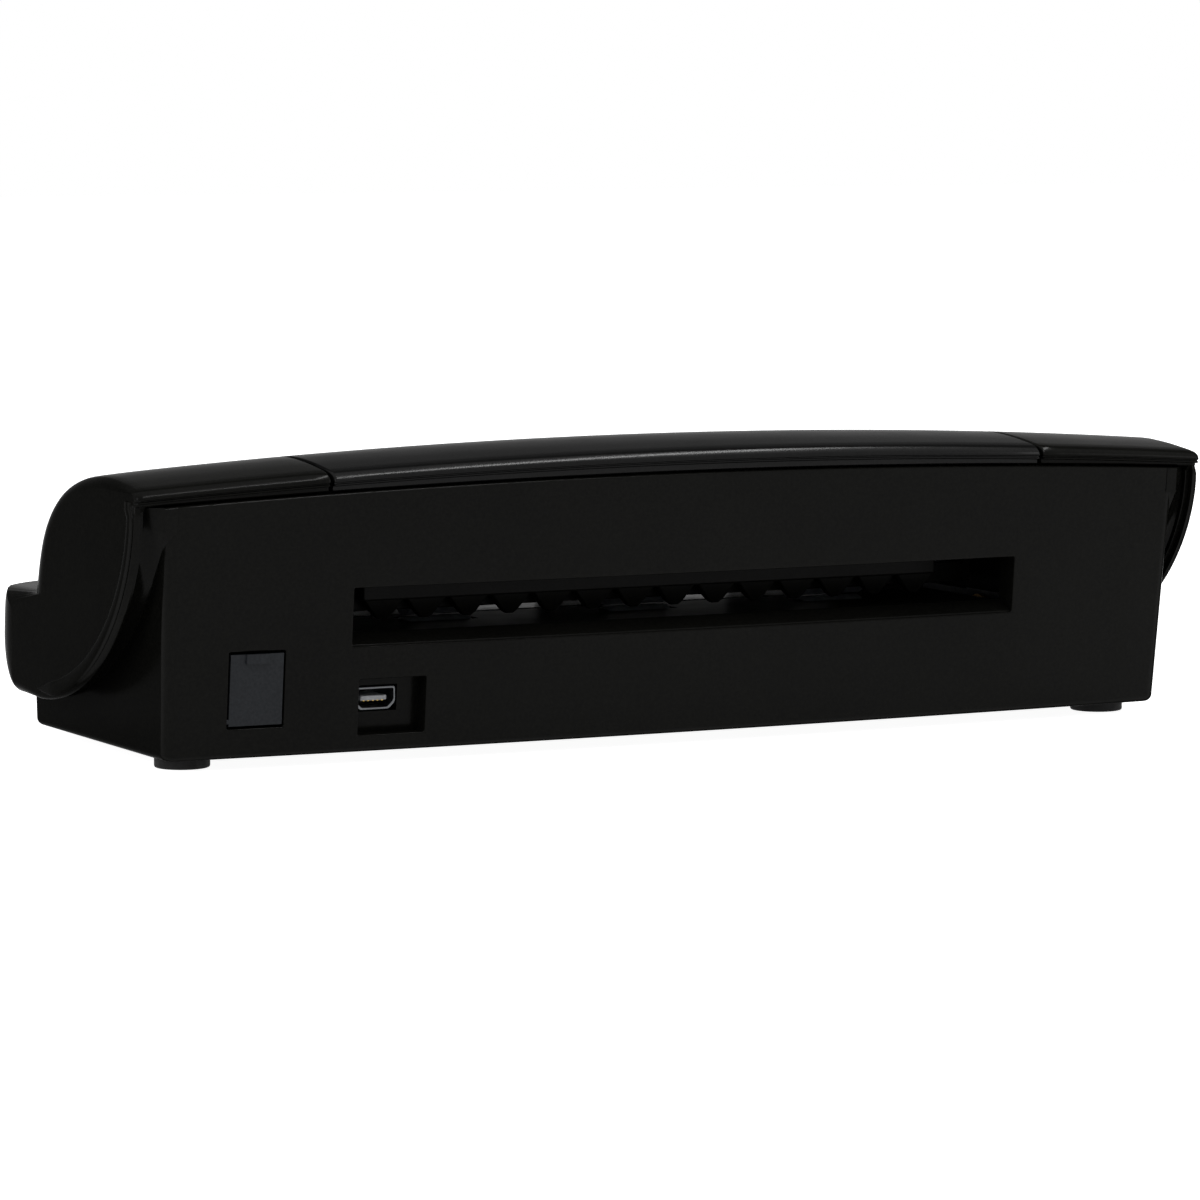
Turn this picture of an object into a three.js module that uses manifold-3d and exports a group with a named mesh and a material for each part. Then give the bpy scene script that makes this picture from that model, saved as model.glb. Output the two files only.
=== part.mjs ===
// A sheet-fed card scanner, in millimetres.
// X runs along the width, +Y points out of the rear panel and +Z up. The origin is
// under the middle of the scanner, on the surface that the feet stand on.
import * as THREE from 'three';
import { mergeVertices } from 'three/addons/utils/BufferGeometryUtils.js';
import Module from 'manifold-3d';

const wasm = await Module();
wasm.setup();

// Driving dimensions. Heights count from the bottom of the housing, over the feet.

// Overall sizes: the others count from these, or from what carries them
const baseWidth = 189.5;
const baseDepth = 57.6;
const crownHeight = 49.75;
const baseHalf = baseWidth / 2;
const baseFront = baseDepth / 2;

// Lower housing. Its rear panel stands further from the rollers than its front wall.
const rearOffset = 1.2;
const panelBelowCrown = 5.4;
const panelHeight = crownHeight - panelBelowCrown;
const panelDrop = 2.5;
const panelTopOffset = 4.5;
const sideTopOffset = 1.3;
const rearBow = 2.56;
const baseWall = 2;
const baseFloor = 2;
const rearCorner = 2.2;
const frontCorner = 3;
const frontWallHeight = 4.9;
const flareFromFront = 5.6;
const flareBelowPanel = 6.85;
const flareFoot = 5.5;
const flareWall = 2;
const flareInset = 1.8;
const flareTop = panelHeight - flareBelowPanel;

// Upper shell
const coverOverhang = 6.65;
const coverHalf = baseHalf + coverOverhang;
const coverWall = 2;
const crownDrop = 4;
const humpFront = 21.5;
const humpFoot = 24.2;
const humpFrontBow = 2;
const humpCorner = 12;
const humpEdge = 2;
const humpRearCorner = 1.2;
const beadSetback = 0.15;
const bandSetback = 0.9;
const shellGap = 0.3;
const lipFront = 43;
const lipFrontBow = 1.8;
const lipTop = 23.8;
const lipBottom = 5.2;
const lipCorner = 20;
const lipEdge = 3;
const lipInner = 27;
const beadRadius = 1;
const rimBack = 10;
const rimFoot = 6.6;
const rimBelowPanel = 3.35;
const rimSetback = 1.16;
const rimStep = 1;
const rimStepIn = 1.2;
const rimBendShare = 1.09;
const rimHeight = panelHeight - rimBelowPanel;
const partingGap = 0.4;

// Lid between the two grooves
const endCoverWidth = 34.4;
const lidHalf = coverHalf - endCoverWidth;
const groove = 0.6;
const lidSideWall = 1.6;
const lidMouth = 1.3;
const lidSkirt = 30;
const skirtGap = 1.65;
const hingeBack = 15.5;
const hingeHeight = 29;
const hingeEar = 3.2;
const hingePin = 1.2;
const hingePinLength = 3.9;
const innerWall = 1.6;

// Paper path
const pathHeight = 19.4;
const pathGap = 2.2;
const nipGap = 0.3;
const tyreProud = 0.4;
const tyreRadius = 5;
const tyreWidth = 12;
const rollerSpacing = 24;
const shaftRadius = 2;
const idlerRadius = 4;
const idlerAxle = 1.25;
const fit = 0.15;
const seat = 0.3;

// Openings in the rear panel
const slotInLid = 4.15;
const slotHalf = lidHalf - slotInLid;
const slotBottom = 17.7;
const slotTop = 27.4;
const slotDepth = 4.7;
const slotWall = 1.5;
const portFromEnd = 45.35;
const portRight = baseHalf - portFromEnd;
const portWidth = 11.9;
const portBottom = 2.9;
const portHeight = 9.3;
const portDepth = 3.2;
const doorFromEnd = 20.25;
const doorRight = baseHalf - doorFromEnd;
const doorWidth = 9.8;
const doorBottom = 5;
const doorHeight = 12.7;
const doorDepth = 2;
const doorPlate = 1.1;
const doorPin = 0.5;
const doorPivotRise = 1.2;
const doorPivotIn = 0.8;
const tabWidth = 4;
const tabHeight = 1.6;
const tabProud = 0.5;

// Teeth of the upper guide
const toothCount = 14;
const toothPitch = (slotHalf * 2) / (toothCount + 2);
const toothAbovePath = 1;
const toothHeight = 3.6;
const toothDepth = 3.4;
const toothBarHeight = 2.4;

// Feet and screws
const footRadius = 4.6;
const footHeight = 2;
const rearFootFromEnd = 6.75;
const rearFootFromRear = 9;
const frontFootFromEnd = 16.75;
const frontFootFromFront = 8.8;
const rearFootOut = baseHalf - rearFootFromEnd;
const rearFootBack = baseDepth / 2 + rearOffset - rearFootFromRear;
const frontFootOut = baseHalf - frontFootFromEnd;
const frontFootFront = baseFront - frontFootFromFront;
const screwShank = 1.3;
const screwHead = 2.6;
const screwHeadHeight = 1.4;
const screwLength = 12;
const screwFromFront = 6.8;
const frontScrewFront = baseFront - screwFromFront;
const columnRadius = 3;
const padHeight = 4;

// Gears
const gearModule = 0.8;
const rollerTeeth = 18;
const betweenTeeth = 12;
const reductionSmallTeeth = 12;
const reductionLargeTeeth = 24;
const pinionTeeth = 10;
const gearWidth = 4;
const largeGearWidth = 2.6;
const gearBacklash = 0.22;
const motorRadius = 10;
const motorLength = 9.5;
const pinionShaft = 1;

// Side frames
const frameBesideLid = 3;
const frameOut = lidHalf + frameBesideLid;
const frameWall = 2;
const bushRadius = 3;
const studRadius = 1.5;

// Scan button
const buttonFromEnd = 10.75;
const buttonOut = baseHalf - buttonFromEnd;
const buttonRadius = 4.4;
const buttonTravel = 0.8;
const lensRadius = 1.1;
const lensOffset = 8.6;

// Paper guide
const guideFromLidEnd = 23;
const guideAt = lidHalf - guideFromLidEnd;
const guideThick = 1.6;
const guideHeight = 5;
const guideLength = 13;
const guideFront = 38;
const guideRange = [26, 10];
const trayRear = 18.5;
const trackFront = 30;
const trackWidth = 3;
const trackMargin = 3;

// Sensor bars and the upper guide's side walls
const sensorInSlot = 5.85;
const sensorHalf = slotHalf - sensorInSlot;
const sensorDepth = 12;
const sensorTall = 9.5;
const sensorGlass = 0.8;
const guideInLid = 3.8;
const guideSide = lidHalf - guideInLid;
const guideRiseShare = 0.55;
const guideRise = humpFoot + (crownHeight - humpFoot) * guideRiseShare;
const ribWall = 1.5;
const windowMargin = 1;

// Board, sockets and switch
const boardLow = 4.8;
const boardThick = 1.6;
const boardPost = 2.2;
const boardBesidePort = 4.8;
const boardFront = 6;
const socketWide = 7.6;
const socketTall = 3.8;
const socketLong = 9;
const socketWall = 0.4;
const socketInPort = 7.9;
const jackTall = 9.6;
const jackLong = 13;
const buttonProud = 1;
const buttonDeep = 4;
const switchTall = 3.2;
const switchSide = 6;
const switchBoard = 1.2;

// Facets of a round piece, points along the rim, and how far cuts run past
const roundCount = 24;
const rimCount = 9;
const overrun = baseDepth;

// Colours, roughness and metalness of each finish
const finishes = {
  shell: { color: 0x121211, roughness: 0.55, metalness: 0 },
  lid: { color: 0x131312, roughness: 0.5, metalness: 0 },
  guide: { color: 0x191918, roughness: 0.6, metalness: 0 },
  door: { color: 0x2b2b2d, roughness: 0.5, metalness: 0 },
  rubber: { color: 0x1c1c1c, roughness: 0.9, metalness: 0 },
  roller: { color: 0x55585a, roughness: 0.85, metalness: 0 },
  steel: { color: 0xb9bcc0, roughness: 0.3, metalness: 1 },
  brass: { color: 0xb08d4a, roughness: 0.4, metalness: 1 },
  gear: { color: 0xe6e2d6, roughness: 0.5, metalness: 0 },
  frame: { color: 0x3a3c40, roughness: 0.6, metalness: 0 },
  glass: { color: 0x9fb4b0, roughness: 0.08, metalness: 0 },
  board: { color: 0x1d4a2b, roughness: 0.6, metalness: 0 },
  connector: { color: 0x202022, roughness: 0.5, metalness: 0 },
  button: { color: 0x3d3f42, roughness: 0.4, metalness: 0 },
  lens: { color: 0xdfe9dd, roughness: 0.15, metalness: 0 },
};

const model = new THREE.Group();

// Solids: geometry in, geometry out, joined and cut in between

function outward(geometry) {
  const place = geometry.attributes.position;
  const index = geometry.index.array;
  const a = new THREE.Vector3();
  const b = new THREE.Vector3();
  const c = new THREE.Vector3();
  let volume = 0;
  for (let i = 0; i < index.length; i += 3) {
    a.fromBufferAttribute(place, index[i]);
    b.fromBufferAttribute(place, index[i + 1]);
    c.fromBufferAttribute(place, index[i + 2]);
    volume += a.dot(b.cross(c));
  }
  if (volume < 0) {
    geometry.setIndex(Array.from(index).reverse());
  }
  return geometry;
}

function solid(geometry) {
  const bare = geometry.clone();
  bare.deleteAttribute('normal');
  bare.deleteAttribute('uv');
  const merged = outward(mergeVertices(bare));
  return new wasm.Manifold(new wasm.Mesh({
    numProp: 3,
    vertProperties: Float32Array.from(merged.attributes.position.array),
    triVerts: Uint32Array.from(merged.index.array),
  }));
}

function surface(manifold) {
  const mesh = manifold.getMesh();
  const geometry = new THREE.BufferGeometry();
  geometry.setAttribute('position', new THREE.BufferAttribute(mesh.vertProperties, 3));
  geometry.setIndex(new THREE.BufferAttribute(mesh.triVerts, 1));
  geometry.computeVertexNormals();
  return geometry;
}

function place(name, manifold, finish) {
  const mesh = new THREE.Mesh(surface(manifold), new THREE.MeshStandardMaterial(finishes[finish]));
  mesh.name = name;
  model.add(mesh);
  return mesh;
}

function joined(parts) {
  return parts.reduce((whole, part) => whole.add(part));
}

function without(body, cuts) {
  return cuts.reduce((rest, cut) => rest.subtract(cut), body);
}

// A loft through closed rings of points that lie in planes across one axis
function loft(rings, flat) {
  const count = rings[0].length;
  const index = [];
  for (let ring = 0; ring + 1 < rings.length; ring += 1) {
    for (let i = 0; i < count; i += 1) {
      const next = (i + 1) % count;
      const low = ring * count;
      const high = low + count;
      index.push(low + i, low + next, high + next, low + i, high + next, high + i);
    }
  }
  // Caps come out anticlockwise whichever way the rings run
  const capOf = (ring) => THREE.ShapeUtils.triangulateShape(ring.map(flat), []);
  const clockwise = THREE.ShapeUtils.isClockWise(rings[0].map(flat));
  const along = ([a, b, c]) => (clockwise ? [a, c, b] : [a, b, c]);
  const last = (rings.length - 1) * count;
  for (const face of capOf(rings[0])) {
    index.push(...along(face).reverse());
  }
  for (const face of capOf(rings[rings.length - 1])) {
    index.push(...along(face).map((corner) => last + corner));
  }
  const geometry = new THREE.BufferGeometry();
  const points = rings.flat().flatMap((p) => [p.x, p.y, p.z]);
  geometry.setAttribute('position', new THREE.Float32BufferAttribute(points, 3));
  geometry.setIndex(index);
  return solid(geometry);
}

const acrossX = (p) => new THREE.Vector2(p.y, p.z);
const acrossZ = (p) => new THREE.Vector2(p.x, p.y);

// Lofts sections of [y, z] points along the given places on X
function loftX(places, sectionAt) {
  const rings = places.map((x) => sectionAt(x).map(([y, z]) => new THREE.Vector3(x, y, z)));
  return loft(rings, acrossX);
}

function extrude(outline, depth, basis) {
  const shape = new THREE.Shape(outline.map(([a, b]) => new THREE.Vector2(a, b)));
  const geometry = new THREE.ExtrudeGeometry(shape, { depth, bevelEnabled: false });
  return solid(geometry.applyMatrix4(basis));
}

function slabX(outline, from, to) {
  const basis = new THREE.Matrix4().makeBasis(
    new THREE.Vector3(0, 1, 0),
    new THREE.Vector3(0, 0, 1),
    new THREE.Vector3(1, 0, 0),
  );
  return extrude(outline, to - from, basis.setPosition(from, 0, 0));
}

function slabY(outline, from, to) {
  const basis = new THREE.Matrix4().makeBasis(
    new THREE.Vector3(1, 0, 0),
    new THREE.Vector3(0, 0, 1),
    new THREE.Vector3(0, -1, 0),
  );
  return extrude(outline, to - from, basis.setPosition(0, to, 0));
}

function block([x0, x1], [y0, y1], [z0, z1]) {
  const geometry = new THREE.BoxGeometry(x1 - x0, y1 - y0, z1 - z0);
  geometry.translate((x0 + x1) / 2, (y0 + y1) / 2, (z0 + z1) / 2);
  return solid(geometry);
}

// A turned solid: the profile lists [radius, place along the axis]
function turned(profile, sides = roundCount) {
  return new THREE.LatheGeometry(profile.map(([r, h]) => new THREE.Vector2(r, h)), sides);
}

function turnedX(profile, y, z, sides = roundCount) {
  return solid(turned(profile, sides).rotateZ(-Math.PI / 2).translate(0, y, z));
}

function turnedZ(profile, x, y, sides = roundCount) {
  return solid(turned(profile, sides).rotateX(Math.PI / 2).translate(x, y, 0));
}

const rodProfile = (radius, from, to) => [[0, from], [radius, from], [radius, to], [0, to]];
const rodX = (radius, from, to, y, z, sides) => turnedX(rodProfile(radius, from, to), y, z, sides);
const rodZ = (radius, from, to, x, y, sides) => turnedZ(rodProfile(radius, from, to), x, y, sides);

function ringX(outer, inner, from, to, y, z) {
  return turnedX([[inner, from], [outer, from], [outer, to], [inner, to], [inner, from]], y, z);
}

// Form of the shells

const bow = (x) => rearBow * (1 - (x / baseHalf) ** 2);
const arch = (x) => (x / coverHalf) ** 2;
const panelTopAt = (x) => panelHeight - panelDrop * (x / baseHalf) ** 2;
const rearAt = (x, z) => (
  baseDepth / 2 + rearOffset + bow(x) + (panelTopOffset * z) / panelHeight
);
const sideAt = (z) => baseHalf + (sideTopOffset * z) / panelHeight;
const rimDepth = rearAt(baseHalf, rimHeight) - rimSetback + rimBack;

// The flare's arc leaves the low front level and ends in the rear panel's plane
const flareBack = baseFront - flareFromFront;
const flareAlong = rearAt(baseHalf, flareTop) + flareBack;
const flareUp = flareTop - flareFoot;
const flareRadius = (flareAlong ** 2 + flareUp ** 2) / (flareUp * 2);

// How far a rounded edge draws in at a distance from the end face
function drawnIn(radius, fromEnd) {
  if (fromEnd >= radius) {
    return 0;
  }
  return radius - Math.sqrt(Math.max(radius ** 2 - (radius - fromEnd) ** 2, 0));
}

// Places counted from the end face, closer together where the edge turns
const endSharesOfCorner = [0, 0.02, 0.07, 0.15, 0.27, 0.42, 0.6, 0.8, 1];

// Hump of the upper shell: share of its depth towards the rear, share of its rise
const humpShares = [
  [0, 0], [0.018, 0.125], [0.041, 0.265], [0.076, 0.417], [0.131, 0.568], [0.213, 0.712],
  [0.321, 0.837], [0.464, 0.936], [0.615, 0.989], [0.72, 1], [0.828, 0.985], [0.924, 0.958],
  [0.97, 0.94], [0.99, 0.925], [1, 0.905], [0.998, 0.883],
];

// The same for the hollow inside, with fewer points
const innerShares = [
  ...humpShares.filter((_, i) => i % 2 === 0).slice(0, -1),
  humpShares.at(-1),
];

// Feed lip: share of its reach towards the front, share of its height
const lipShares = [
  [0, 0.06], [0.25, 0.085], [0.45, 0.12], [0.62, 0.17], [0.76, 0.23], [0.87, 0.3],
  [0.95, 0.39], [1, 0.52], [0.99, 0.66], [0.965, 0.78], [0.93, 0.88], [0.88, 0.95], [0.8, 1],
];

const innerLipShares = [
  [0.2, 0.18], [0.48, 0.24], [0.7, 0.33], [0.84, 0.45], [0.89, 0.6], [0.87, 0.78], [0.78, 0.89],
];

const humpRise = crownHeight - humpFoot;
const beadBack = rearAt(0, panelHeight) - beadSetback;
const humpDepth = beadBack + humpFront;

// Both take the distance from the end face, and the thickness of the wall for the form
// of its inner side
function humpPoint([along, up], x, fromEnd, wall = 0) {
  const share = arch(x);
  const front = -humpFront + humpFrontBow * share * (1 - along);
  const rear = humpDepth * along - rearBow * (x / baseHalf) ** 2 * along;
  const corner = drawnIn(humpCorner - wall, fromEnd - wall) * (1 - along) ** 2;
  const rearTurn = drawnIn(humpRearCorner - wall, fromEnd - wall) * along ** 8;
  const rise = humpRise * up - crownDrop * share * up;
  const edge = drawnIn(humpEdge - wall, fromEnd - wall) * up * (1 - along ** 8);
  return [front + rear + corner - rearTurn, humpFoot + rise - edge];
}

function lipPoint([along, up], x, fromEnd, wall = 0) {
  const reach = lipFront - humpFront;
  const front = -humpFront - reach * along + lipFrontBow * arch(x) * along;
  const corner = drawnIn(lipCorner - wall, fromEnd - wall) * along;
  const height = lipBottom + (lipTop - lipBottom) * up;
  const edge = drawnIn(lipEdge - wall, fromEnd - wall);
  return [front + corner, height - edge * up + edge * (1 - up)];
}

// The band under the bead, set back from the rear panel's plane
const bandAt = (x, fromEnd, wall = 0) => (
  rearAt(x, panelTopAt(x)) - bandSetback - drawnIn(humpRearCorner - wall, fromEnd - wall)
);

const footAt = (x) => panelTopAt(x) + shellGap;

function bandPoints(x, fromEnd) {
  const y = bandAt(x, fromEnd);
  const bead = humpPoint(humpShares[humpShares.length - 1], x, fromEnd);
  return [[y, (bead[1] + footAt(x)) / 2], [y, footAt(x)]];
}

// Moves each point of an open outline along its mean normal, towards its right-hand side
function offset(outline, distance) {
  return outline.map((point, i) => {
    const before = outline[Math.max(i - 1, 0)];
    const after = outline[Math.min(i + 1, outline.length - 1)];
    const along = new THREE.Vector2(after[0] - before[0], after[1] - before[1]).normalize();
    return [point[0] + along.y * distance, point[1] - along.x * distance];
  });
}

// Inner side of the hump and of its rear band, as far as the band's lower edge
function innerHump(shares, x, fromEnd) {
  const hump = shares.map((share) => humpPoint(share, x, fromEnd, coverWall));
  const rear = bandAt(x, fromEnd, coverWall) - coverWall;
  return [...offset(hump, coverWall).slice(0, -1), [rear, footAt(x)]];
}

// The rim sweeps from the rear corner down to the low front: nearly a quarter of an ellipse
function rimPoint(share, inset) {
  const angle = (share * Math.PI) / 2;
  const across = (rimDepth - inset) * Math.cos(angle) ** rimBendShare;
  const down = (rimHeight - rimFoot - inset) * Math.sin(angle) ** rimBendShare;
  return [-rimBack + across, rimHeight - down];
}

function rim(inset) {
  return Array.from({ length: rimCount }, (_, i) => rimPoint(i / (rimCount - 1), inset));
}

// Past its rounded bead the rim steps in, which leaves a dark line beside the flare
const rimInset = (fromEnd) => drawnIn(beadRadius, fromEnd) + (fromEnd > rimStepIn ? rimStep : 0);

function endCoverSection(x) {
  const fromEnd = coverHalf - Math.abs(x);
  return [
    ...humpShares.map((share) => humpPoint(share, x, fromEnd)),
    ...bandPoints(x, fromEnd),
    ...rim(rimInset(fromEnd)),
    ...lipShares.map((share) => lipPoint(share, x, fromEnd)),
  ];
}

// The hollow is open below the band and past the rim
function endCoverHollow(x) {
  const fromEnd = coverHalf - Math.abs(x);
  const hump = innerHump(innerShares, x, fromEnd);
  const lip = innerLipShares.map((share) => lipPoint(share, x, fromEnd, coverWall));
  return [
    [hump[0][0], lip.at(-1)[1]],
    ...hump,
    [baseDepth, footAt(x)],
    ...rim(-coverWall),
    [lip[0][0], lipBottom - coverWall],
    ...lip,
  ];
}

// One end of the upper shell, with its cheek and the end of the feed lip
function endCover(side) {
  const innerFace = lidHalf + groove;
  const reach = coverHalf - innerFace;
  const ends = endSharesOfCorner.map((share) => share * lipCorner).concat(reach);
  const outer = loftX(ends.map((end) => side * (coverHalf - end)), endCoverSection);
  const hollowEnds = ends.filter((end) => end > coverWall && end < reach);
  const hollow = loftX(
    [coverWall, ...hollowEnds, reach - innerWall].map((end) => side * (coverHalf - end)),
    endCoverHollow,
  );
  const rearInner = (z) => rearAt(lidHalf, z) - baseWall - shellGap - seat;
  const innerEnds = [innerFace - groove, innerFace + innerWall + groove].map((end) => side * end);
  const throughWall = innerEnds.sort((a, b) => a - b);
  const doorway = slabX([
    [-hingeBack - hingeEar, -overrun],
    [-hingeBack - hingeEar, pathHeight + seat],
    [rearInner(pathHeight), pathHeight + seat],
    [rearInner(footAt(lidHalf)), footAt(lidHalf)],
    [overrun, footAt(lidHalf)],
    [overrun, -overrun],
  ], ...throughWall);
  const columns = [[rearFootOut, rearFootBack, columnTop(rearFootOut, rearFootBack)],
    [rearFootOut, -frontScrewFront, lipTop - coverWall / 2]];
  const posts = columns.map(([x, y, top]) => rodZ(columnRadius, padHeight + seat, top, side * x, y));
  const pilots = columns.map(([x, y]) => (
    rodZ(screwShank + fit, -overrun, padHeight + screwLength, side * x, y)
  ));
  const pinHole = rodX(hingePin + seat, ...throughWall, -hingeBack, hingeHeight);
  return without(joined([without(outer, [hollow]), ...posts]), [doorway, ...pilots, pinHole]);
}

// Height inside the top wall, for a column that joins it from below
function columnTop(x, y) {
  const along = (y + humpFront) / humpDepth;
  const after = humpShares.findIndex((share) => share[0] > along);
  const [low, high] = [humpShares[after - 1], humpShares[after]];
  const mix = (along - low[0]) / (high[0] - low[0]);
  const up = low[1] + (high[1] - low[1]) * mix;
  return humpPoint([along, up], x, coverHalf - x)[1] - coverWall / 2;
}

// Lower housing

function planOutline(z, inset) {
  const halfX = sideAt(z) - inset;
  const front = -baseDepth / 2 + inset;
  const arc = (cx, cy, radius, from, count) => Array.from({ length: count + 1 }, (_, i) => {
    const angle = from + (i / count) * (Math.PI / 2);
    return [cx + radius * Math.cos(angle), cy + radius * Math.sin(angle)];
  });
  const rearOf = (x) => rearAt(x, z) - inset;
  const rearTurn = Math.max(rearCorner - inset, rearCorner / 4);
  const frontTurn = Math.max(frontCorner - inset, frontCorner / 4);
  const flat = halfX - rearTurn;
  const spans = 10;
  const rear = Array.from({ length: spans - 1 }, (_, i) => {
    const x = flat * (1 - (2 * (i + 1)) / spans);
    return [x, rearOf(x)];
  });
  return [
    ...arc(-halfX + frontTurn, front + frontTurn, frontTurn, Math.PI, 4),
    ...arc(halfX - frontTurn, front + frontTurn, frontTurn, -Math.PI / 2, 4),
    ...arc(flat, rearOf(halfX) - rearTurn, rearTurn, 0, 4),
    ...rear,
    ...arc(-flat, rearOf(halfX) - rearTurn, rearTurn, Math.PI / 2, 4),
  ];
}

function loftZ(heights, inset) {
  const rings = heights.map((z) => (
    planOutline(z, inset).map(([x, y]) => new THREE.Vector3(x, y, z))
  ));
  return loft(rings, acrossZ);
}

// A piece that follows the rear panel: the profile lists [depth into the panel, height]
function alongRear(profile, from, to) {
  const count = Math.max(2, 2 * Math.round((4 * (to - from)) / baseWidth));
  const places = Array.from({ length: count }, (_, i) => from + ((to - from) * i) / (count - 1));
  return loftX(places, (x) => profile.map(([depth, z]) => [rearAt(x, z) - depth, z]));
}

const box = (near, far, low, high) => [[near, low], [near, high], [far, high], [far, low]];

// Curve where the side wall starts to flare, from the low front to the rear panel
function flareStart(share) {
  const centre = flareFoot + flareRadius;
  const top = Math.acos((centre - flareTop) / flareRadius);
  return [-flareBack + flareRadius * Math.sin(top * share), centre - flareRadius * Math.cos(top * share)];
}

function flareSection(out) {
  const mixed = Array.from({ length: rimCount }, (_, i) => {
    const share = i / (rimCount - 1);
    const start = flareStart(share);
    const end = rimPoint(1 - share, flareInset);
    return [start[0] + (end[0] - start[0]) * out, start[1] + (end[1] - start[1]) * out];
  });
  const last = mixed[rimCount - 1];
  const top = panelTopAt(baseHalf);
  const rear = last[0] + ((panelTopOffset * (top - last[1])) / panelHeight) * (1 - out);
  const curve = [...mixed, [rear, top]];
  const inner = curve.slice(1).reverse().map(([y, z]) => [y - flareWall, z + flareWall * 0.4]);
  inner[0] = [rear - flareWall, top];
  return [...curve, ...inner];
}

function flare(side) {
  const start = sideAt(rimHeight);
  const end = coverHalf - coverWall - partingGap;
  const places = [start - baseWall, start - sideTopOffset / 2, (start + end) / 2, end];
  const outOf = (x) => Math.max(0, (x - start) / (end - start));
  const rings = places.map((x) => (
    flareSection(outOf(x)).map(([y, z]) => new THREE.Vector3(side * x, y, z))
  ));
  return loft(rings, acrossX);
}

// Everything above the side walls and in front of the rear panel
function interiorCut() {
  const centre = flareFoot + flareRadius;
  const rearInner = (z) => (
    baseDepth / 2 + rearOffset - baseWall + (panelTopOffset * z) / panelHeight
  );
  const arc = Array.from({ length: rimCount }, (_, i) => flareStart(i / (rimCount - 1)))
    .map(([y, z]) => [y - flareWall * 0.4, z + flareWall * 0.16])
    .filter(([y, z]) => y < rearInner(z));
  const meet = arc[arc.length - 1][1] + flareWall;
  return slabX([
    [-overrun, frontWallHeight],
    [-flareBack - flareWall / 2, frontWallHeight],
    ...arc,
    [rearInner(meet), meet],
    [rearInner(centre), centre],
    [-overrun, centre],
  ], -baseWidth, baseWidth);
}

function aboveArch() {
  const spans = 16;
  const half = coverHalf;
  const edge = Array.from({ length: spans + 1 }, (_, i) => {
    const x = half * ((2 * i) / spans - 1);
    return [x, panelTopAt(x)];
  });
  return slabY([...edge, [half, panelHeight * 2], [-half, panelHeight * 2]], 0, overrun);
}

// Outer ledge of the exit slot: it rises inwards from a rounded edge
function exitLedge() {
  const half = slotHalf;
  const inner = pathHeight + fit;
  const nose = (inner - slotBottom) / 4;
  return alongRear([
    [nose, slotBottom - slotWall / 2],
    [nose, slotBottom],
    [nose * 2, slotBottom + nose],
    [slotDepth, inner],
    [slotDepth, slotBottom - slotWall / 2],
  ], -half - slotWall / 2, half + slotWall / 2);
}

function baseHousing() {
  const heights = [0, baseFloor, panelHeight * 1.1];
  const shell = loftZ(heights, 0).subtract(loftZ([baseFloor, panelHeight * 1.2], baseWall));
  const half = slotHalf;
  const wallIn = baseWall / 2;
  const portLeft = portRight + portWidth;
  const doorLeft = doorRight + doorWidth;
  const frames = [
    alongRear(
      box(wallIn, slotDepth, slotBottom - slotWall, slotTop + slotWall),
      -half - slotWall,
      half + slotWall,
    ),
    alongRear(
      box(wallIn, portDepth + slotWall, baseFloor / 2, portBottom + portHeight + slotWall),
      portRight - slotWall,
      portLeft + slotWall,
    ),
    alongRear(
      box(wallIn, doorDepth + slotWall, doorBottom - slotWall, doorBottom + doorHeight + slotWall),
      doorRight - slotWall,
      doorLeft + slotWall,
    ),
  ];
  const cuts = [
    alongRear(box(-wallIn, slotDepth * 2, slotBottom, slotTop), -half, half),
    alongRear(box(-wallIn, portDepth, portBottom, portBottom + portHeight), portRight, portLeft),
    alongRear(box(-wallIn, doorDepth, doorBottom, doorBottom + doorHeight), doorRight, doorLeft),
    alongRear(
      box(0, slotDepth * 2, socketHeight - socketTall / 2 - seat, socketHeight + socketTall / 2 + seat),
      socketAt - socketWide / 2 - seat,
      socketAt + socketWide / 2 + seat,
    ),
    alongRear(
      box(0, slotDepth * 2, jackLow + slotWall, jackHigh - slotWall),
      jackRight + slotWall,
      jackLeft - slotWall,
    ),
    rodX(
      doorPin + seat,
      doorRight - slotWall / 2,
      doorLeft + slotWall / 2,
      doorPivotY,
      doorPivotZ,
      roundCount / 2,
    ),
  ];
  const pads = screwPlaces.map(([x, y]) => rodZ(screwHead + slotWall, baseFloor / 2, padHeight, x, y));
  const posts = boardPosts.map(([x, y]) => (
    rodZ(boardPost, baseFloor / 2, boardLow - seat, x, y, roundCount / 2)
  ));
  const cradles = [-1, 1].map((side) => block(
    [side * sensorHalf * 0.8 - sensorDepth / 4, side * sensorHalf * 0.8 + sensorDepth / 4],
    [-sensorDepth / 2, sensorDepth / 2],
    [baseFloor / 2, sensorLow - seat],
  ));
  const heads = screwPlaces.flatMap(([x, y]) => [
    rodZ(screwHead + seat, -baseFloor, screwHeadHeight + seat * 2, x, y),
    rodZ(screwShank + seat, -baseFloor, padHeight * 2, x, y),
  ]);
  const walls = without(joined([shell, ...frames]), [interiorCut()]);
  const whole = joined([walls, flare(1), flare(-1), ...pads, ...posts, ...cradles]);
  return joined([without(whole, [aboveArch(), ...cuts, ...heads]), exitLedge()]);
}

// Lid, from the grooves inwards

function lidHump(x) {
  const mouth = humpShares.map((share) => humpPoint(share, x, coverHalf));
  mouth[0] = [mouth[0][0] + lidMouth / 8, humpFoot + lidMouth];
  return mouth;
}

function lidPlaces(half) {
  const spans = 10;
  return Array.from({ length: spans + 1 }, (_, i) => half * ((2 * i) / spans - 1));
}

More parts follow.
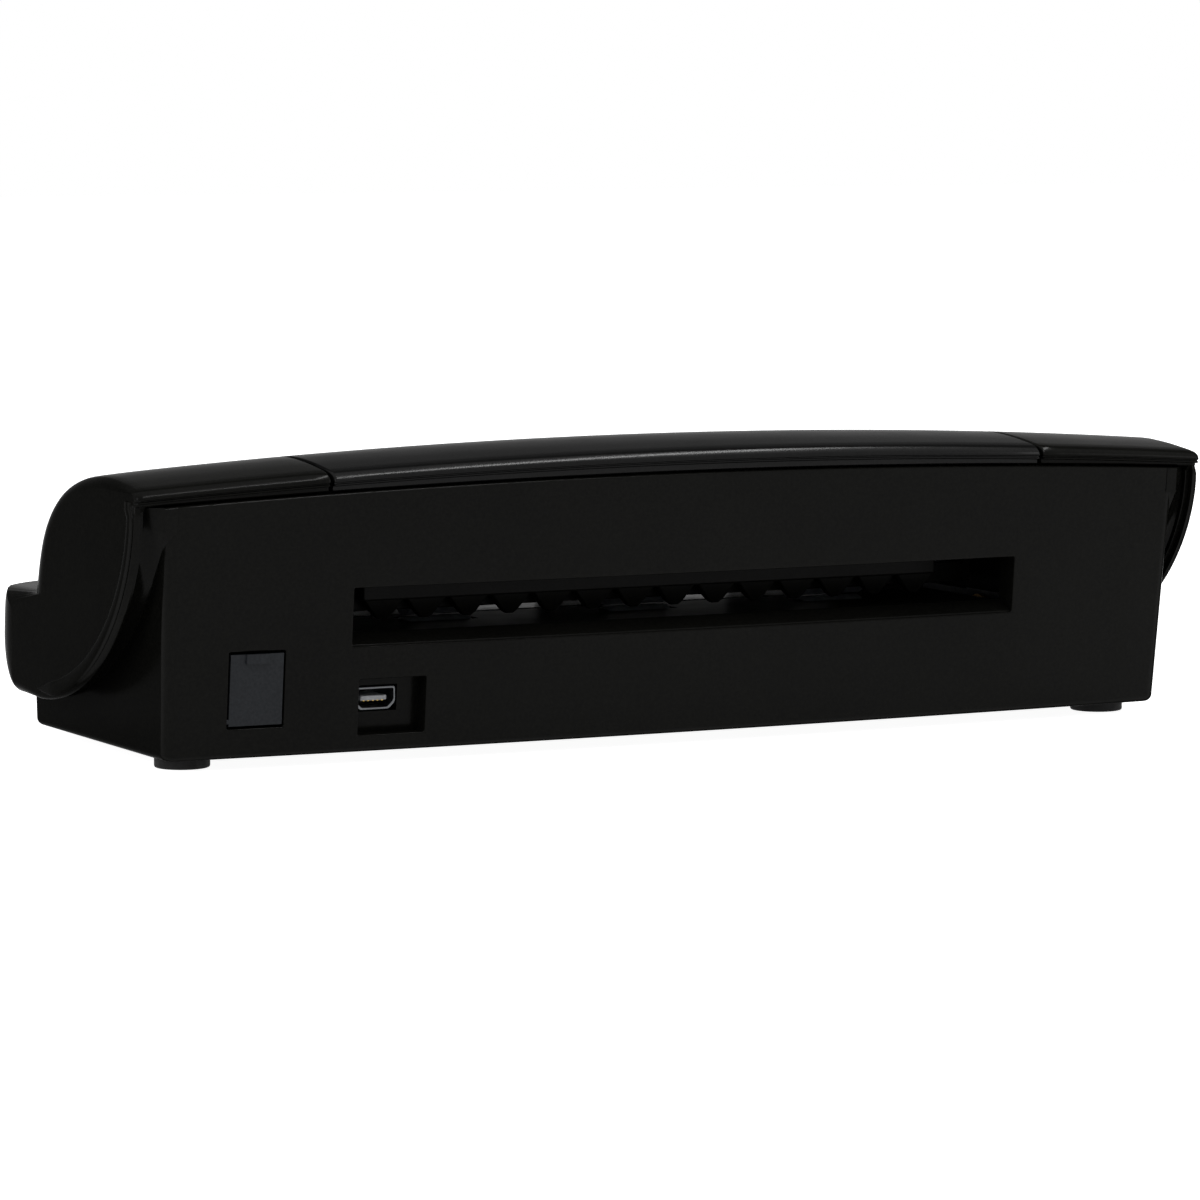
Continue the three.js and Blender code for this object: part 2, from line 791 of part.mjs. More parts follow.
function lidBody() {
  const outer = loftX(lidPlaces(lidHalf), (x) => {
    const hump = lidHump(x);
    return [
      ...hump,
      ...bandPoints(x, coverHalf),
      [lidSkirtRear, footAt(x)],
      [lidSkirtRear, lidSkirt],
      [-hingeBack + hingeEar, lidSkirt],
      [-hingeBack, hump[0][1]],
    ];
  });
  const hollow = loftX(lidPlaces(lidHalf - lidSideWall), (x) => {
    const inner = innerHump(innerShares, x, coverHalf);
    return [[inner[0][0], 0], ...inner, [inner[inner.length - 1][0], 0]];
  });
  const ears = [-1, 1].map((side) => rodX(
    hingeEar,
    Math.min(side * (lidHalf - lidSideWall * 1.5), side * lidHalf),
    Math.max(side * (lidHalf - lidSideWall * 1.5), side * lidHalf),
    -hingeBack,
    hingeHeight,
  ));
  const ribs = [-1, 1].map((side) => ribUnder(side * guideSide));
  const pinHole = rodX(hingePin + fit, -lidHalf * 2, lidHalf * 2, -hingeBack, hingeHeight);
  return without(joined([without(outer, [hollow]), ...ears, ...ribs]), [pinHole]);
}

// A rib from the lid's top down to the side wall of the upper guide
function ribUnder(x) {
  const shares = humpShares.slice(5, 10);
  const top = shares.map((share) => {
    const [y, z] = humpPoint(share, x, coverHalf);
    return [y, z - coverWall / 2];
  });
  const foot = guideRise + seat;
  const outline = [[top[0][0], foot], ...top, [top[top.length - 1][0], foot]];
  return slabX(outline, x - ribWall / 2, x + ribWall / 2);
}

// Front tray between the ends of the feed lip
function frontTray() {
  const half = lidHalf + groove / 2 - seat / 2;
  const section = (x) => {
    const lip = lipShares.slice(2).map((share) => lipPoint(share, x, coverHalf));
    const share = (pathHeight - lipBottom) / (lipTop - lipBottom);
    return lip.map(([y, z]) => [y, lipBottom + (z - lipBottom) * share]);
  };
  const outer = loftX(lidPlaces(half), (x) => [
    [-lipInner, lipBottom],
    ...section(x),
    [-trayRear, pathHeight],
    [-trayRear, pathHeight - coverWall],
    [-lipInner, pathHeight - coverWall],
  ]);
  const hollow = loftX(lidPlaces(half - coverWall), (x) => {
    const whole = [[-lipInner, lipBottom], ...section(x), [-trayRear, pathHeight]];
    const inner = offset(whole, coverWall).slice(1, -1);
    return [[overrun, lipBottom + coverWall], ...inner, [overrun, pathHeight - coverWall]];
  });
  const track = block(
    [guideAt - guideRange[0] - trackMargin, guideAt + guideRange[1] + trackMargin],
    [-trackFront - trackWidth / 2, -trackFront + trackWidth / 2],
    [pathHeight - coverWall * 2, pathHeight + coverWall],
  );
  return without(outer, [hollow, track]);
}

// Places that the inner pieces share
const sensorHigh = pathHeight - sensorGlass - fit;
const sensorLow = sensorHigh - sensorTall;
const lidSkirtRear = rearAt(lidHalf, lidSkirt) - baseWall - skirtGap;
const boardLeft = doorRight + doorWidth + seat;
const boardRight = portRight - boardBesidePort;
const socketAt = portRight + socketInPort;
const socketHeight = boardLow + boardThick + seat + socketTall / 2;
const jackLow = boardLow + boardThick + seat;
const jackHigh = jackLow + jackTall;
const jackRight = doorRight + seat;
const jackLeft = doorRight + doorWidth - seat;
const boardRear = rearAt(boardLeft, boardLow) - slotDepth - slotWall;
const doorPivotZ = doorBottom + doorPivotRise;
const doorPivotY = rearAt(doorRight + doorWidth / 2, doorPivotZ) - doorPivotIn;
const boardPosts = [
  [boardRight + boardPost * 2, boardFront + boardPost],
  [boardLeft - boardPost * 2, boardFront + boardPost],
  [boardRight + boardPost * 2, boardRear - boardPost * 2],
  [boardLeft - boardPost * 3, boardRear - boardPost * 2],
];
const screwPlaces = [
  [rearFootOut, rearFootBack],
  [-rearFootOut, rearFootBack],
  [rearFootOut, -frontScrewFront],
  [-rearFootOut, -frontScrewFront],
];

// Paper guides and sensors

const rollerHeight = pathHeight + tyreProud - tyreRadius;
const idlerHeight = pathHeight + tyreProud + nipGap + idlerRadius;
const rollerPlaces = [-rollerSpacing / 2, rollerSpacing / 2];
const tyrePlaceShares = [-2 / 3, 0, 2 / 3];
const tyrePlaces = tyrePlaceShares.map((share) => share * sensorHalf);

function tyreWindows(radius, low, high) {
  return rollerPlaces.flatMap((y) => tyrePlaces.map((x) => block(
    [x - tyreWidth / 2 - windowMargin, x + tyreWidth / 2 + windowMargin],
    [y - radius - seat, y + radius + seat],
    [low, high],
  )));
}

function lowerGuide() {
  const half = slotHalf - seat;
  const low = pathHeight - coverWall * 0.9;
  const plate = block([-half, half], [-trayRear + seat, guideRear], [low, pathHeight]);
  const window = block(
    [-sensorHalf - seat, sensorHalf + seat],
    [-sensorDepth / 2 - seat, sensorDepth / 2 + seat],
    [0, overrun],
  );
  return without(plate, [...tyreWindows(tyreRadius * 0.82, 0, overrun), window]);
}

const guideRear = rearAt(slotHalf, pathHeight) - slotDepth - seat;
const upperRear = rollerSpacing / 2 + idlerRadius + windowMargin;
const toothBarRear = upperRear + toothDepth;
const toothBarLow = pathHeight + toothHeight + toothAbovePath;

function tooth(x) {
  const half = toothPitch * 0.42;
  const rings = [0, 1].map((down) => {
    const shrink = 1 - 0.86 * down;
    const lean = toothDepth * 0.35 * down;
    const z = toothBarLow - toothHeight * down;
    const wide = half * shrink;
    const deep = (toothDepth / 2) * shrink;
    const y = toothBarRear - toothDepth / 2 + lean;
    return [[x - wide, y - deep], [x + wide, y - deep], [x + wide, y + deep], [x - wide, y + deep]]
      .map(([px, py]) => new THREE.Vector3(px, py, z));
  });
  return loft(rings, acrossZ);
}

function upperGuide() {
  const low = pathHeight + pathGap;
  const high = low + ribWall;
  const half = guideSide - ribWall / 2;
  const front = windowMargin - upperRear;
  const plate = block([-half, half], [front, upperRear], [low, high]);
  const wall = [
    [front, low],
    [front, idlerHeight + idlerRadius],
    [front / 4, guideRise],
    [upperRear, guideRise],
    [upperRear, low],
  ];
  const walls = [-1, 1].map((side) => (
    slabX(wall, side * guideSide - ribWall / 2, side * guideSide + ribWall / 2)
  ));
  const bar = block(
    [-half, half],
    [upperRear - windowMargin, toothBarRear],
    [toothBarLow - seat, toothBarLow + toothBarHeight],
  );
  const first = (-(toothCount - 1) / 2) * toothPitch;
  const teeth = Array.from({ length: toothCount }, (_, i) => tooth(first + i * toothPitch));
  const window = block(
    [-sensorHalf - seat, sensorHalf + seat],
    [-sensorDepth / 2 - seat, sensorDepth / 2 + seat],
    [0, overrun],
  );
  const slots = rollerPlaces.map((y) => (
    rodX(idlerAxle + seat, -overrun * 2, overrun * 2, y, idlerHeight, roundCount / 2)
  ));
  const body = joined([plate, ...walls, bar, ...teeth]);
  return without(body, [...tyreWindows(idlerRadius, low - ribWall, high + ribWall), window, ...slots]);
}

function sensor(low, high) {
  return block([-sensorHalf, sensorHalf], [-sensorDepth / 2, sensorDepth / 2], [low, high]);
}

function sensorPane(low) {
  const margin = ribWall;
  return block(
    [-sensorHalf + margin, sensorHalf - margin],
    [-sensorDepth / 2 + margin, sensorDepth / 2 - margin],
    [low, low + sensorGlass],
  );
}

// Rollers

const shaftEnd = frameOut + frameWall + seat + gearWidth;

function rollerShaft(y) {
  return rodX(shaftRadius, -shaftEnd, frameOut + frameWall + shaftRadius / 2, y, rollerHeight);
}

function tyre(x, y) {
  return ringX(tyreRadius, shaftRadius + fit / 2, x - tyreWidth / 2, x + tyreWidth / 2, y, rollerHeight);
}

function idler(y) {
  const half = tyreWidth / 2;
  const end = guideSide + ribWall / 2 + seat;
  const profile = [[0, -end], [idlerAxle, -end]];
  tyrePlaces.forEach((x) => {
    profile.push([idlerAxle, x - half], [idlerRadius, x - half]);
    profile.push([idlerRadius, x + half], [idlerAxle, x + half]);
  });
  profile.push([idlerAxle, end], [0, end]);
  return turnedX(profile, y, idlerHeight, roundCount / 2);
}

// A leaf spring that bears down on one end of an idler's axle
function leafSpring(x, y) {
  const thick = fit * 2;
  const low = idlerHeight + idlerAxle + seat;
  const reach = idlerRadius;
  const rise = idlerAxle * 2;
  const outline = [
    [y - reach, low + rise],
    [y, low],
    [y + reach, low + rise],
    [y + reach, low + rise + thick],
    [y, low + thick],
    [y - reach, low + rise + thick],
  ];
  return slabX(outline, x - ribWall, x + ribWall);
}

// Side frames, bushes and studs

function sideFrame(side, tall) {
  const half = rollerSpacing / 2 + bushRadius * 2;
  const low = baseFloor + seat;
  const high = rollerHeight + bushRadius * 1.4;
  const [near, far] = [side * frameOut, side * (frameOut + frameWall)].sort((a, b) => a - b);
  const plate = block([near, far], [-half, half], [low, high]);
  const holes = rollerPlaces.map((y) => (
    rodX(bushRadius + fit / 2, -overrun * 2, overrun * 2, y, rollerHeight)
  ));
  if (!tall) {
    const notch = block(
      [near - frameWall, far + frameWall],
      [boardFront - seat, half + frameWall],
      [0, boardLow + boardThick + seat],
    );
    return without(plate, [...holes, notch]);
  }
  const tower = block([near, far], [reductionY - bushRadius * 2, half], [low, reductionZ + bushRadius]);
  const between = rodX(studRadius + fit / 2, -overrun * 2, overrun * 2, 0, rollerHeight);
  const reduction = rodX(studRadius + fit / 2, -overrun * 2, overrun * 2, reductionY, reductionZ);
  return without(joined([plate, tower]), [...holes, between, reduction]);
}

function bush(side, y) {
  const inner = shaftRadius + fit;
  const inside = side * (frameOut - seat - frameWall / 2);
  const flange = side * (frameOut - seat);
  const outside = side * (frameOut + frameWall);
  const profile = [
    [inner, inside],
    [bushRadius * 1.3, inside],
    [bushRadius * 1.3, flange],
    [bushRadius, flange],
    [bushRadius, outside],
    [inner, outside],
    [inner, inside],
  ];
  return turnedX(profile, y, rollerHeight);
}

// Gears

const pitchRadius = (teeth) => (gearModule * teeth) / 2;
const betweenRadius = pitchRadius(rollerTeeth) + pitchRadius(reductionSmallTeeth);
const reductionY = rollerSpacing / 2;
const reductionZ = rollerHeight + betweenRadius;
const motorDistance = pitchRadius(reductionLargeTeeth) + pitchRadius(pinionTeeth);
const motorY = 0;
const motorZ = reductionZ - Math.sqrt(motorDistance ** 2 - (reductionY - motorY) ** 2);

// Points on one involute tooth, in polar form: [radius, angle from the tooth's middle]
function toothFlank(teeth) {
  const pitch = pitchRadius(teeth);
  const pressure = Math.PI / 9;
  const baseRadius = pitch * Math.cos(pressure);
  const root = pitch - gearModule * 1.2;
  const tip = pitch + gearModule * 0.92;
  const involute = (angle) => Math.tan(angle) - angle;
  const halfAtPitch = Math.PI / (2 * teeth) - gearBacklash / (2 * pitch);
  const halfAt = (radius) => (
    halfAtPitch + involute(pressure) - involute(Math.acos(Math.min(1, baseRadius / radius)))
  );
  const start = Math.max(root, baseRadius);
  const flank = [start, (start + pitch) / 2, pitch, (pitch + tip) / 2, tip];
  const rootPoint = [root, halfAt(start)];
  return [rootPoint, ...flank.map((radius) => [radius, halfAt(radius)])];
}

function gear(teeth, from, to, y, z, phase) {
  const flank = toothFlank(teeth);
  const outline = [];
  for (let i = 0; i < teeth; i += 1) {
    const middle = phase + (i * 2 * Math.PI) / teeth;
    const rising = flank.map(([radius, angle]) => [radius, middle - angle]);
    const falling = [...flank].reverse().map(([radius, angle]) => [radius, middle + angle]);
    for (const [radius, angle] of [...rising, ...falling]) {
      outline.push([y + radius * Math.cos(angle), z + radius * Math.sin(angle)]);
    }
  }
  return slabX(outline, from, to);
}

// Turns a gear so that its teeth stand in the gaps of the one that it meshes with
function meshedPhase(fromTeeth, fromPhase, direction, toTeeth) {
  const share = (fromTeeth * (direction - fromPhase)) / (2 * Math.PI);
  return direction + Math.PI - ((2 * Math.PI) / toTeeth) * (0.5 - share);
}

const gearInner = -(frameOut + frameWall + seat);
const gearOuter = gearInner - gearWidth;
const largeInner = gearOuter - seat;
const largeOuter = largeInner - largeGearWidth;
const frontPhase = 0;
const betweenPhase = meshedPhase(rollerTeeth, frontPhase, 0, betweenTeeth);
const rearPhase = meshedPhase(betweenTeeth, betweenPhase, 0, rollerTeeth);
const reductionPhase = meshedPhase(rollerTeeth, rearPhase, Math.PI / 2, reductionSmallTeeth);
const motorDirection = Math.atan2(motorZ - reductionZ, motorY - reductionY);
const pinionPhase = meshedPhase(reductionLargeTeeth, 0, motorDirection, pinionTeeth);

function rollerGear(y, phase) {
  const blank = gear(rollerTeeth, gearOuter, gearInner, y, rollerHeight, phase);
  return without(blank, [rodX(shaftRadius + fit / 2, -overrun * 2, 0, y, rollerHeight)]);
}

function reductionGear() {
  const small = gear(reductionSmallTeeth, largeInner, gearInner, reductionY, reductionZ, reductionPhase);
  const large = gear(reductionLargeTeeth, largeOuter, largeInner, reductionY, reductionZ, 0);
  const bore = rodX(studRadius + fit, -overrun * 2, 0, reductionY, reductionZ);
  return without(joined([small, large]), [bore]);
}

function motorPinion() {
  const toothed = gear(pinionTeeth, largeOuter, largeInner, motorY, motorZ, pinionPhase);
  const back = motorFace - motorLength / 4;
  const shaft = rodX(pinionShaft, back, largeInner - seat, motorY, motorZ, roundCount / 2);
  return joined([toothed, shaft]);
}

const bracketInner = largeOuter - seat * 3;
const bracketOuter = bracketInner - coverWall * 0.7;
const motorFace = bracketOuter - seat;
const bossRadius = motorRadius * 0.4;

function motorBracket() {
  const plate = block(
    [bracketOuter, bracketInner],
    [motorY - motorRadius * 1.1, motorY + motorRadius * 1.1],
    [baseFloor + seat, motorZ + motorRadius],
  );
  return without(plate, [rodX(bossRadius + seat, -overrun * 2, 0, motorY, motorZ)]);
}

function motorCan() {
  const bore = pinionShaft + seat;
  const edge = motorRadius * 0.1;
  const back = motorFace - motorLength;
  const deep = motorFace - motorLength / 2;
  const profile = [
    [0, back],
    [motorRadius - edge, back],
    [motorRadius, back + edge],
    [motorRadius, motorFace],
    [bossRadius, motorFace],
    [bossRadius, bracketInner],
    [bore, bracketInner],
    [bore, deep],
    [0, deep],
  ];
  return turnedX(profile, motorY, motorZ);
}

// Board, sockets and the small door

function mainBoard() {
  return block([boardRight, boardLeft], [boardFront, boardRear], [boardLow, boardLow + boardThick]);
}

function dataSocket() {
  const rear = rearAt(socketAt, socketHeight) - portDepth + seat;
  const half = [socketWide / 2, socketTall / 2];
  const key = socketTall * 0.3;
  const outline = (inset) => [
    [socketAt - half[0] + inset + key, socketHeight - half[1] + inset],
    [socketAt + half[0] - inset - key, socketHeight - half[1] + inset],
    [socketAt + half[0] - inset, socketHeight - half[1] + inset + key],
    [socketAt + half[0] - inset, socketHeight + half[1] - inset],
    [socketAt - half[0] + inset, socketHeight + half[1] - inset],
    [socketAt - half[0] + inset, socketHeight - half[1] + inset + key],
  ];
  const can = slabY(outline(0), rear - socketLong, rear);
  const mouth = slabY(outline(socketWall), rear - socketLong * 0.8, rear + socketWall);
  const tongue = block(
    [socketAt - half[0] * 0.62, socketAt + half[0] * 0.62],
    [rear - socketLong * 0.9, rear - socketWall],
    [socketHeight - half[1] * 0.22, socketHeight + half[1] * 0.22],
  );
  return joined([can.subtract(mouth), tongue]);
}

function powerJack() {
  const mouth = rearAt(jackLeft, jackLow) - doorDepth - slotWall - seat;
  const middle = [(jackRight + jackLeft) / 2, (jackLow + jackHigh) / 2];
  const body = block([jackRight, jackLeft], [mouth - jackLong, mouth], [jackLow, jackHigh]);
  const bore = (jackHigh - jackLow) * 0.32;
  const turnedY = (radius, from, to) => solid(
    turned(rodProfile(radius, from, to)).translate(middle[0], 0, middle[1]),
  );
  const hole = turnedY(bore, mouth - jackLong * 0.8, mouth + jackLong);
  const pin = turnedY(bore * 0.35, mouth - jackLong * 0.9, mouth - jackLong * 0.1);
  return joined([body.subtract(hole), pin]);
}

function portDoor() {
  const [left, right] = [doorRight + doorWidth - seat, doorRight + seat];
  const [low, high] = [doorBottom + seat * 1.5, doorBottom + doorHeight - seat * 1.5];
  const near = seat / 2;
  const plate = alongRear(box(near, near + doorPlate, low, high), right, left);
  const middle = doorRight + doorWidth / 2;
  const tab = alongRear(
    box(near - tabProud, near + doorPlate / 2, high - tabHeight, high),
    middle - tabWidth / 2,
    middle + tabWidth / 2,
  );
  const [pinRight, pinLeft] = [right - slotWall / 2, left + slotWall / 2];
  const pins = rodX(doorPin, pinRight, pinLeft, doorPivotY, doorPivotZ, roundCount / 2);
  return joined([plate, tab, pins]);
}

// Scan button, in the frame of its own axis

const buttonShares = [humpShares[3], humpShares[4]];

function buttonFrame() {
  const [low, high] = buttonShares.map((share) => humpPoint(share, buttonOut, coverHalf - buttonOut));
  const tangent = new THREE.Vector2(high[0] - low[0], high[1] - low[1]).normalize();
  const normal = new THREE.Vector3(0, -tangent.y, tangent.x);
  const centre = new THREE.Vector3(buttonOut, (low[0] + high[0]) / 2, (low[1] + high[1]) / 2);
  const turn = new THREE.Quaternion().setFromUnitVectors(new THREE.Vector3(0, 1, 0), normal);
  return new THREE.Matrix4().compose(centre, turn, new THREE.Vector3(1, 1, 1));
}

// A turned solid along the button's axis, at a distance beside it
function onButton(profile, beside = 0) {
  return solid(turned(profile).translate(-beside, 0, 0).applyMatrix4(buttonFrame()));
}

const switchFace = buttonDeep + seat + buttonTravel;

function scanButton() {
  const crown = buttonProud * 1.3;
  return onButton([
    [0, -buttonDeep],
    [buttonRadius * 0.8, -buttonDeep],
    [buttonRadius * 0.8, -coverWall - seat - buttonTravel],
    [buttonRadius, -coverWall - seat - buttonTravel],
    [buttonRadius, buttonProud * 0.6],
    [buttonRadius * 0.86, buttonProud],
    [0, crown],
  ]);
}

function buttonCuts() {
  const gap = seat;
  return [
    onButton(rodProfile(buttonRadius + gap, -coverWall * 3, coverWall * 3)),
    onButton(rodProfile(lensRadius + fit, -coverWall * 3, coverWall * 3), lensOffset),
  ];
}

function scanSwitch() {
  const frame = buttonFrame();
  const part = (wide, long, from, to) => solid(
    new THREE.BoxGeometry(wide, to - from, long).translate(0, (from + to) / 2, 0).applyMatrix4(frame),
  );
  const back = -switchFace - switchTall;
  return joined([
    part(switchSide, switchSide, back, -switchFace - fit),
    part(switchSide * 2.6, switchSide * 1.8, back - switchBoard, back + fit),
  ]);
}

function switchPosts() {
  const back = -switchFace - switchTall;
  return [-1, 1].map((side) => onButton(
    rodProfile(switchBoard, back + fit + seat, -coverWall / 2),
    side * switchSide,
  ));
}

function statusLens() {
  const back = -switchFace - switchTall + seat + fit;
  return onButton([
    [0, back],
    [lensRadius * 0.8, back],
    [lensRadius * 0.8, -coverWall * 1.5],
    [lensRadius, -coverWall * 1.5],
    [lensRadius, 0],
    [lensRadius * 0.6, fit],
    [0, fit],
  ], lensOffset);
}

// Paper guide that slides along the tray
function paperGuide() {
  const neck = trackWidth / 2 - seat;
  const fin = block(
    [guideAt - guideThick / 2, guideAt + guideThick / 2],
    [-guideFront, -guideFront + guideLength],
    [pathHeight + seat, pathHeight + guideHeight],
  );
  const foot = block(
    [guideAt - guideThick / 2, guideAt + guideThick * 2],
    [-guideFront, -guideFront + guideLength],
    [pathHeight + seat, pathHeight + seat + guideThick / 2],
  );
  const stem = block(
    [guideAt - guideThick / 2, guideAt + guideThick],
    [-trackFront - neck, -trackFront + neck],
    [pathHeight - coverWall - seat * 2, pathHeight + seat * 2],
  );
  const shoe = block(
    [guideAt - guideThick, guideAt + guideThick * 1.5],
    [-trackFront - trackWidth, -trackFront + trackWidth],
    [pathHeight - coverWall * 1.5 - seat * 2, pathHeight - coverWall - seat],
  );
  return joined([fin, foot, stem, shoe]);
}

// Feet and screws

function foot(x, y) {
  const edge = footHeight / 4;
  return turnedZ([
    [0, -footHeight],
    [footRadius - edge, -footHeight],
    [footRadius, -footHeight + edge],
    [footRadius, 0],
    [0, 0],
  ], x, y);
}

function screw(x, y) {
  const low = seat;
  const socket = screwShank * 0.9;
  return turnedZ([
    [0, low + screwHeadHeight / 2],
    [socket, low + screwHeadHeight / 2],
    [socket, low],
    [screwHead, low],
    [screwHead, low + screwHeadHeight],
    [screwShank, low + screwHeadHeight],
    [screwShank, screwLength],
    [0, screwLength + screwShank],
  ], x, y, roundCount / 2);
}

// Assembly

place('base_housing', baseHousing(), 'shell');
place('end_cover_left', without(joined([endCover(1), ...switchPosts()]), buttonCuts()), 'shell');
place('end_cover_right', endCover(-1), 'shell');
place('front_tray', frontTray(), 'shell');
place('lid', lidBody(), 'lid');
place('lower_guide', lowerGuide(), 'guide');
place('upper_guide', upperGuide(), 'guide');
place('lower_sensor', sensor(sensorLow, sensorHigh), 'connector');
place('lower_sensor_glass', sensorPane(sensorHigh + fit), 'glass');
const upperSensorLow = pathHeight + pathGap + sensorGlass + fit;
place('upper_sensor', sensor(upperSensorLow, upperSensorLow + sensorTall), 'connector');
place('upper_sensor_glass', sensorPane(upperSensorLow - fit - sensorGlass), 'glass');

for (const [name, y] of [['front', rollerPlaces[0]], ['rear', rollerPlaces[1]]]) {
  place(`${name}_roller_shaft`, rollerShaft(y), 'steel');
  tyrePlaces.forEach((x, i) => place(`${name}_roller_tyre_${i + 1}`, tyre(x, y), 'roller'));
  place(`${name}_idler`, idler(y), 'roller');
  place(`${name}_bush_left`, bush(1, y), 'brass');
  place(`${name}_bush_right`, bush(-1, y), 'brass');
  [-1, 1].forEach((side) => {
    const end = side > 0 ? 'left' : 'right';
    const inset = guideSide - ribWall * 2 - seat;
    place(`${name}_idler_spring_${end}`, leafSpring(side * inset, y), 'steel');
  });
}

place('front_roller_gear', rollerGear(rollerPlaces[0], frontPhase), 'gear');
place('rear_roller_gear', rollerGear(rollerPlaces[1], rearPhase), 'gear');
const betweenBore = rodX(studRadius + fit, -overrun * 2, 0, 0, rollerHeight);
const betweenBlank = gear(betweenTeeth, gearOuter, gearInner, 0, rollerHeight, betweenPhase);
place('between_gear', without(betweenBlank, [betweenBore]), 'gear');
place('reduction_gear', reductionGear(), 'gear');
place('motor_pinion', motorPinion(), 'brass');
const studInner = -frameOut + seat;
const reductionStud = rodX(studRadius, largeOuter - seat, studInner, reductionY, reductionZ);
place('between_gear_stud', rodX(studRadius, gearOuter, studInner, 0, rollerHeight), 'steel');
place('reduction_gear_stud', reductionStud, 'steel');
place('side_frame_left', sideFrame(1, false), 'frame');
place('side_frame_right', sideFrame(-1, true), 'frame');
place('motor_bracket', motorBracket(), 'steel');
place('feed_motor', motorCan(), 'steel');

place('main_board', mainBoard(), 'board');
place('data_socket', dataSocket(), 'steel');
place('power_jack', powerJack(), 'connector');
place('port_door', portDoor(), 'door');
place('scan_button', scanButton(), 'button');
place('scan_switch', scanSwitch(), 'board');
place('status_lens', statusLens(), 'lens');
place('paper_guide', paperGuide(), 'guide');

[-1, 1].forEach((side) => {
  const end = side > 0 ? 'left' : 'right';
  const from = Math.min(side * (lidHalf + innerWall), side * (lidHalf + innerWall - hingePinLength));
  place(`lid_pin_${end}`, rodX(hingePin, from, from + hingePinLength, -hingeBack, hingeHeight), 'steel');
  place(`rear_foot_${end}`, foot(side * rearFootOut, rearFootBack), 'rubber');
  place(`front_foot_${end}`, foot(side * frontFootOut, -frontFootFront), 'rubber');
  place(`rear_screw_${end}`, screw(side * rearFootOut, rearFootBack), 'steel');
  place(`front_screw_${end}`, screw(side * rearFootOut, -frontScrewFront), 'steel');
});

// The whole stands on its feet, with the middle of its depth over the origin
model.position.set(0, (lipFront - rearAt(0, panelHeight)) / 2, footHeight);

export default model;
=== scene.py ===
"""The looks of the card scanner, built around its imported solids. Lengths are in metres."""

import math

import bpy
import numpy as np
from mathutils import Matrix, Vector


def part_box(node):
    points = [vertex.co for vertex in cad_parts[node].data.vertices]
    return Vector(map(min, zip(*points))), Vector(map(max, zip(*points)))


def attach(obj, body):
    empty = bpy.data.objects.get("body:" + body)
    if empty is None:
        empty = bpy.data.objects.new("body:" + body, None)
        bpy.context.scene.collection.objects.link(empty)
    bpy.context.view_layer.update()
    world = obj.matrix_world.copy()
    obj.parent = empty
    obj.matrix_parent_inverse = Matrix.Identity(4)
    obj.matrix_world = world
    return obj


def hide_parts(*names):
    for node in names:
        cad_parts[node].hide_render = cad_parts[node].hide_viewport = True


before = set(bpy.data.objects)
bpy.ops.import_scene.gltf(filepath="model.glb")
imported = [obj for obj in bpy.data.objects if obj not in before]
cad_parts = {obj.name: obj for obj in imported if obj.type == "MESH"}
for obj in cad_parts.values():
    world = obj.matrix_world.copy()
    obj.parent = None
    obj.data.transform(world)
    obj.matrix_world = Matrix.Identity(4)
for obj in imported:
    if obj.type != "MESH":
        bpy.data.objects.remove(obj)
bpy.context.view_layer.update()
scene = bpy.context.scene

# Overall sizes and the lower housing. Y counts from the middle between the rollers.
BASE_WIDTH = 0.1895
BASE_DEPTH = 0.0576
REAR_OFFSET = 0.0012
PANEL_HEIGHT = 0.04435
PANEL_DROP = 0.0025
PANEL_TOP_OFFSET = 0.0045
SIDE_TOP_OFFSET = 0.0013
REAR_BOW = 0.00256
BASE_WALL = 0.002
BASE_FLOOR = 0.002
REAR_CORNER = 0.0022
FRONT_CORNER = 0.003
FRONT_WALL_HEIGHT = 0.0049
FLARE_FROM_FRONT = 0.0056
FLARE_TOP = 0.0375
FLARE_FOOT = 0.0055
FLARE_WALL = 0.002
FLARE_INSET = 0.0018

# Upper shell
COVER_WIDTH = 0.2028
COVER_WALL = 0.002
CROWN_HEIGHT = 0.04975
CROWN_DROP = 0.004
HUMP_FRONT = 0.0215
HUMP_FOOT = 0.0242
HUMP_FRONT_BOW = 0.002
HUMP_CORNER = 0.012
HUMP_EDGE = 0.002
HUMP_REAR_CORNER = 0.0012
BEAD_SETBACK = 0.00015
BAND_SETBACK = 0.0009
SHELL_GAP = 0.0003
LIP_FRONT = 0.043
LIP_FRONT_BOW = 0.0018
LIP_TOP = 0.0238
LIP_BOTTOM = 0.0052
LIP_CORNER = 0.020
LIP_EDGE = 0.003
LIP_INNER = 0.027
BEAD_RADIUS = 0.001
RIM_BACK = 0.010
RIM_DEPTH = 0.043
RIM_HEIGHT = 0.041
RIM_FOOT = 0.0066
RIM_STEP = 0.001
RIM_STEP_IN = 0.0012
RIM_BEND = 1.09
PARTING_GAP = 0.0004
RIDGE_HEIGHT = 0.0003
RIDGE_WIDTH = 0.0026

# Lid between the grooves
LID_WIDTH = 0.134
GROOVE = 0.0006
LID_SIDE_WALL = 0.0016
LID_MOUTH = 0.0013
LID_SKIRT = 0.030
SKIRT_GAP = 0.00165
HINGE_BACK = 0.0155
HINGE_HEIGHT = 0.029
HINGE_EAR = 0.0032
HINGE_PIN = 0.0012
INNER_WALL = 0.0016
TRAY_REAR = 0.0185
TRACK_RIGHT = 0.015
TRACK_LEFT = 0.057
TRACK_FRONT = 0.0315
TRACK_WIDTH = 0.003

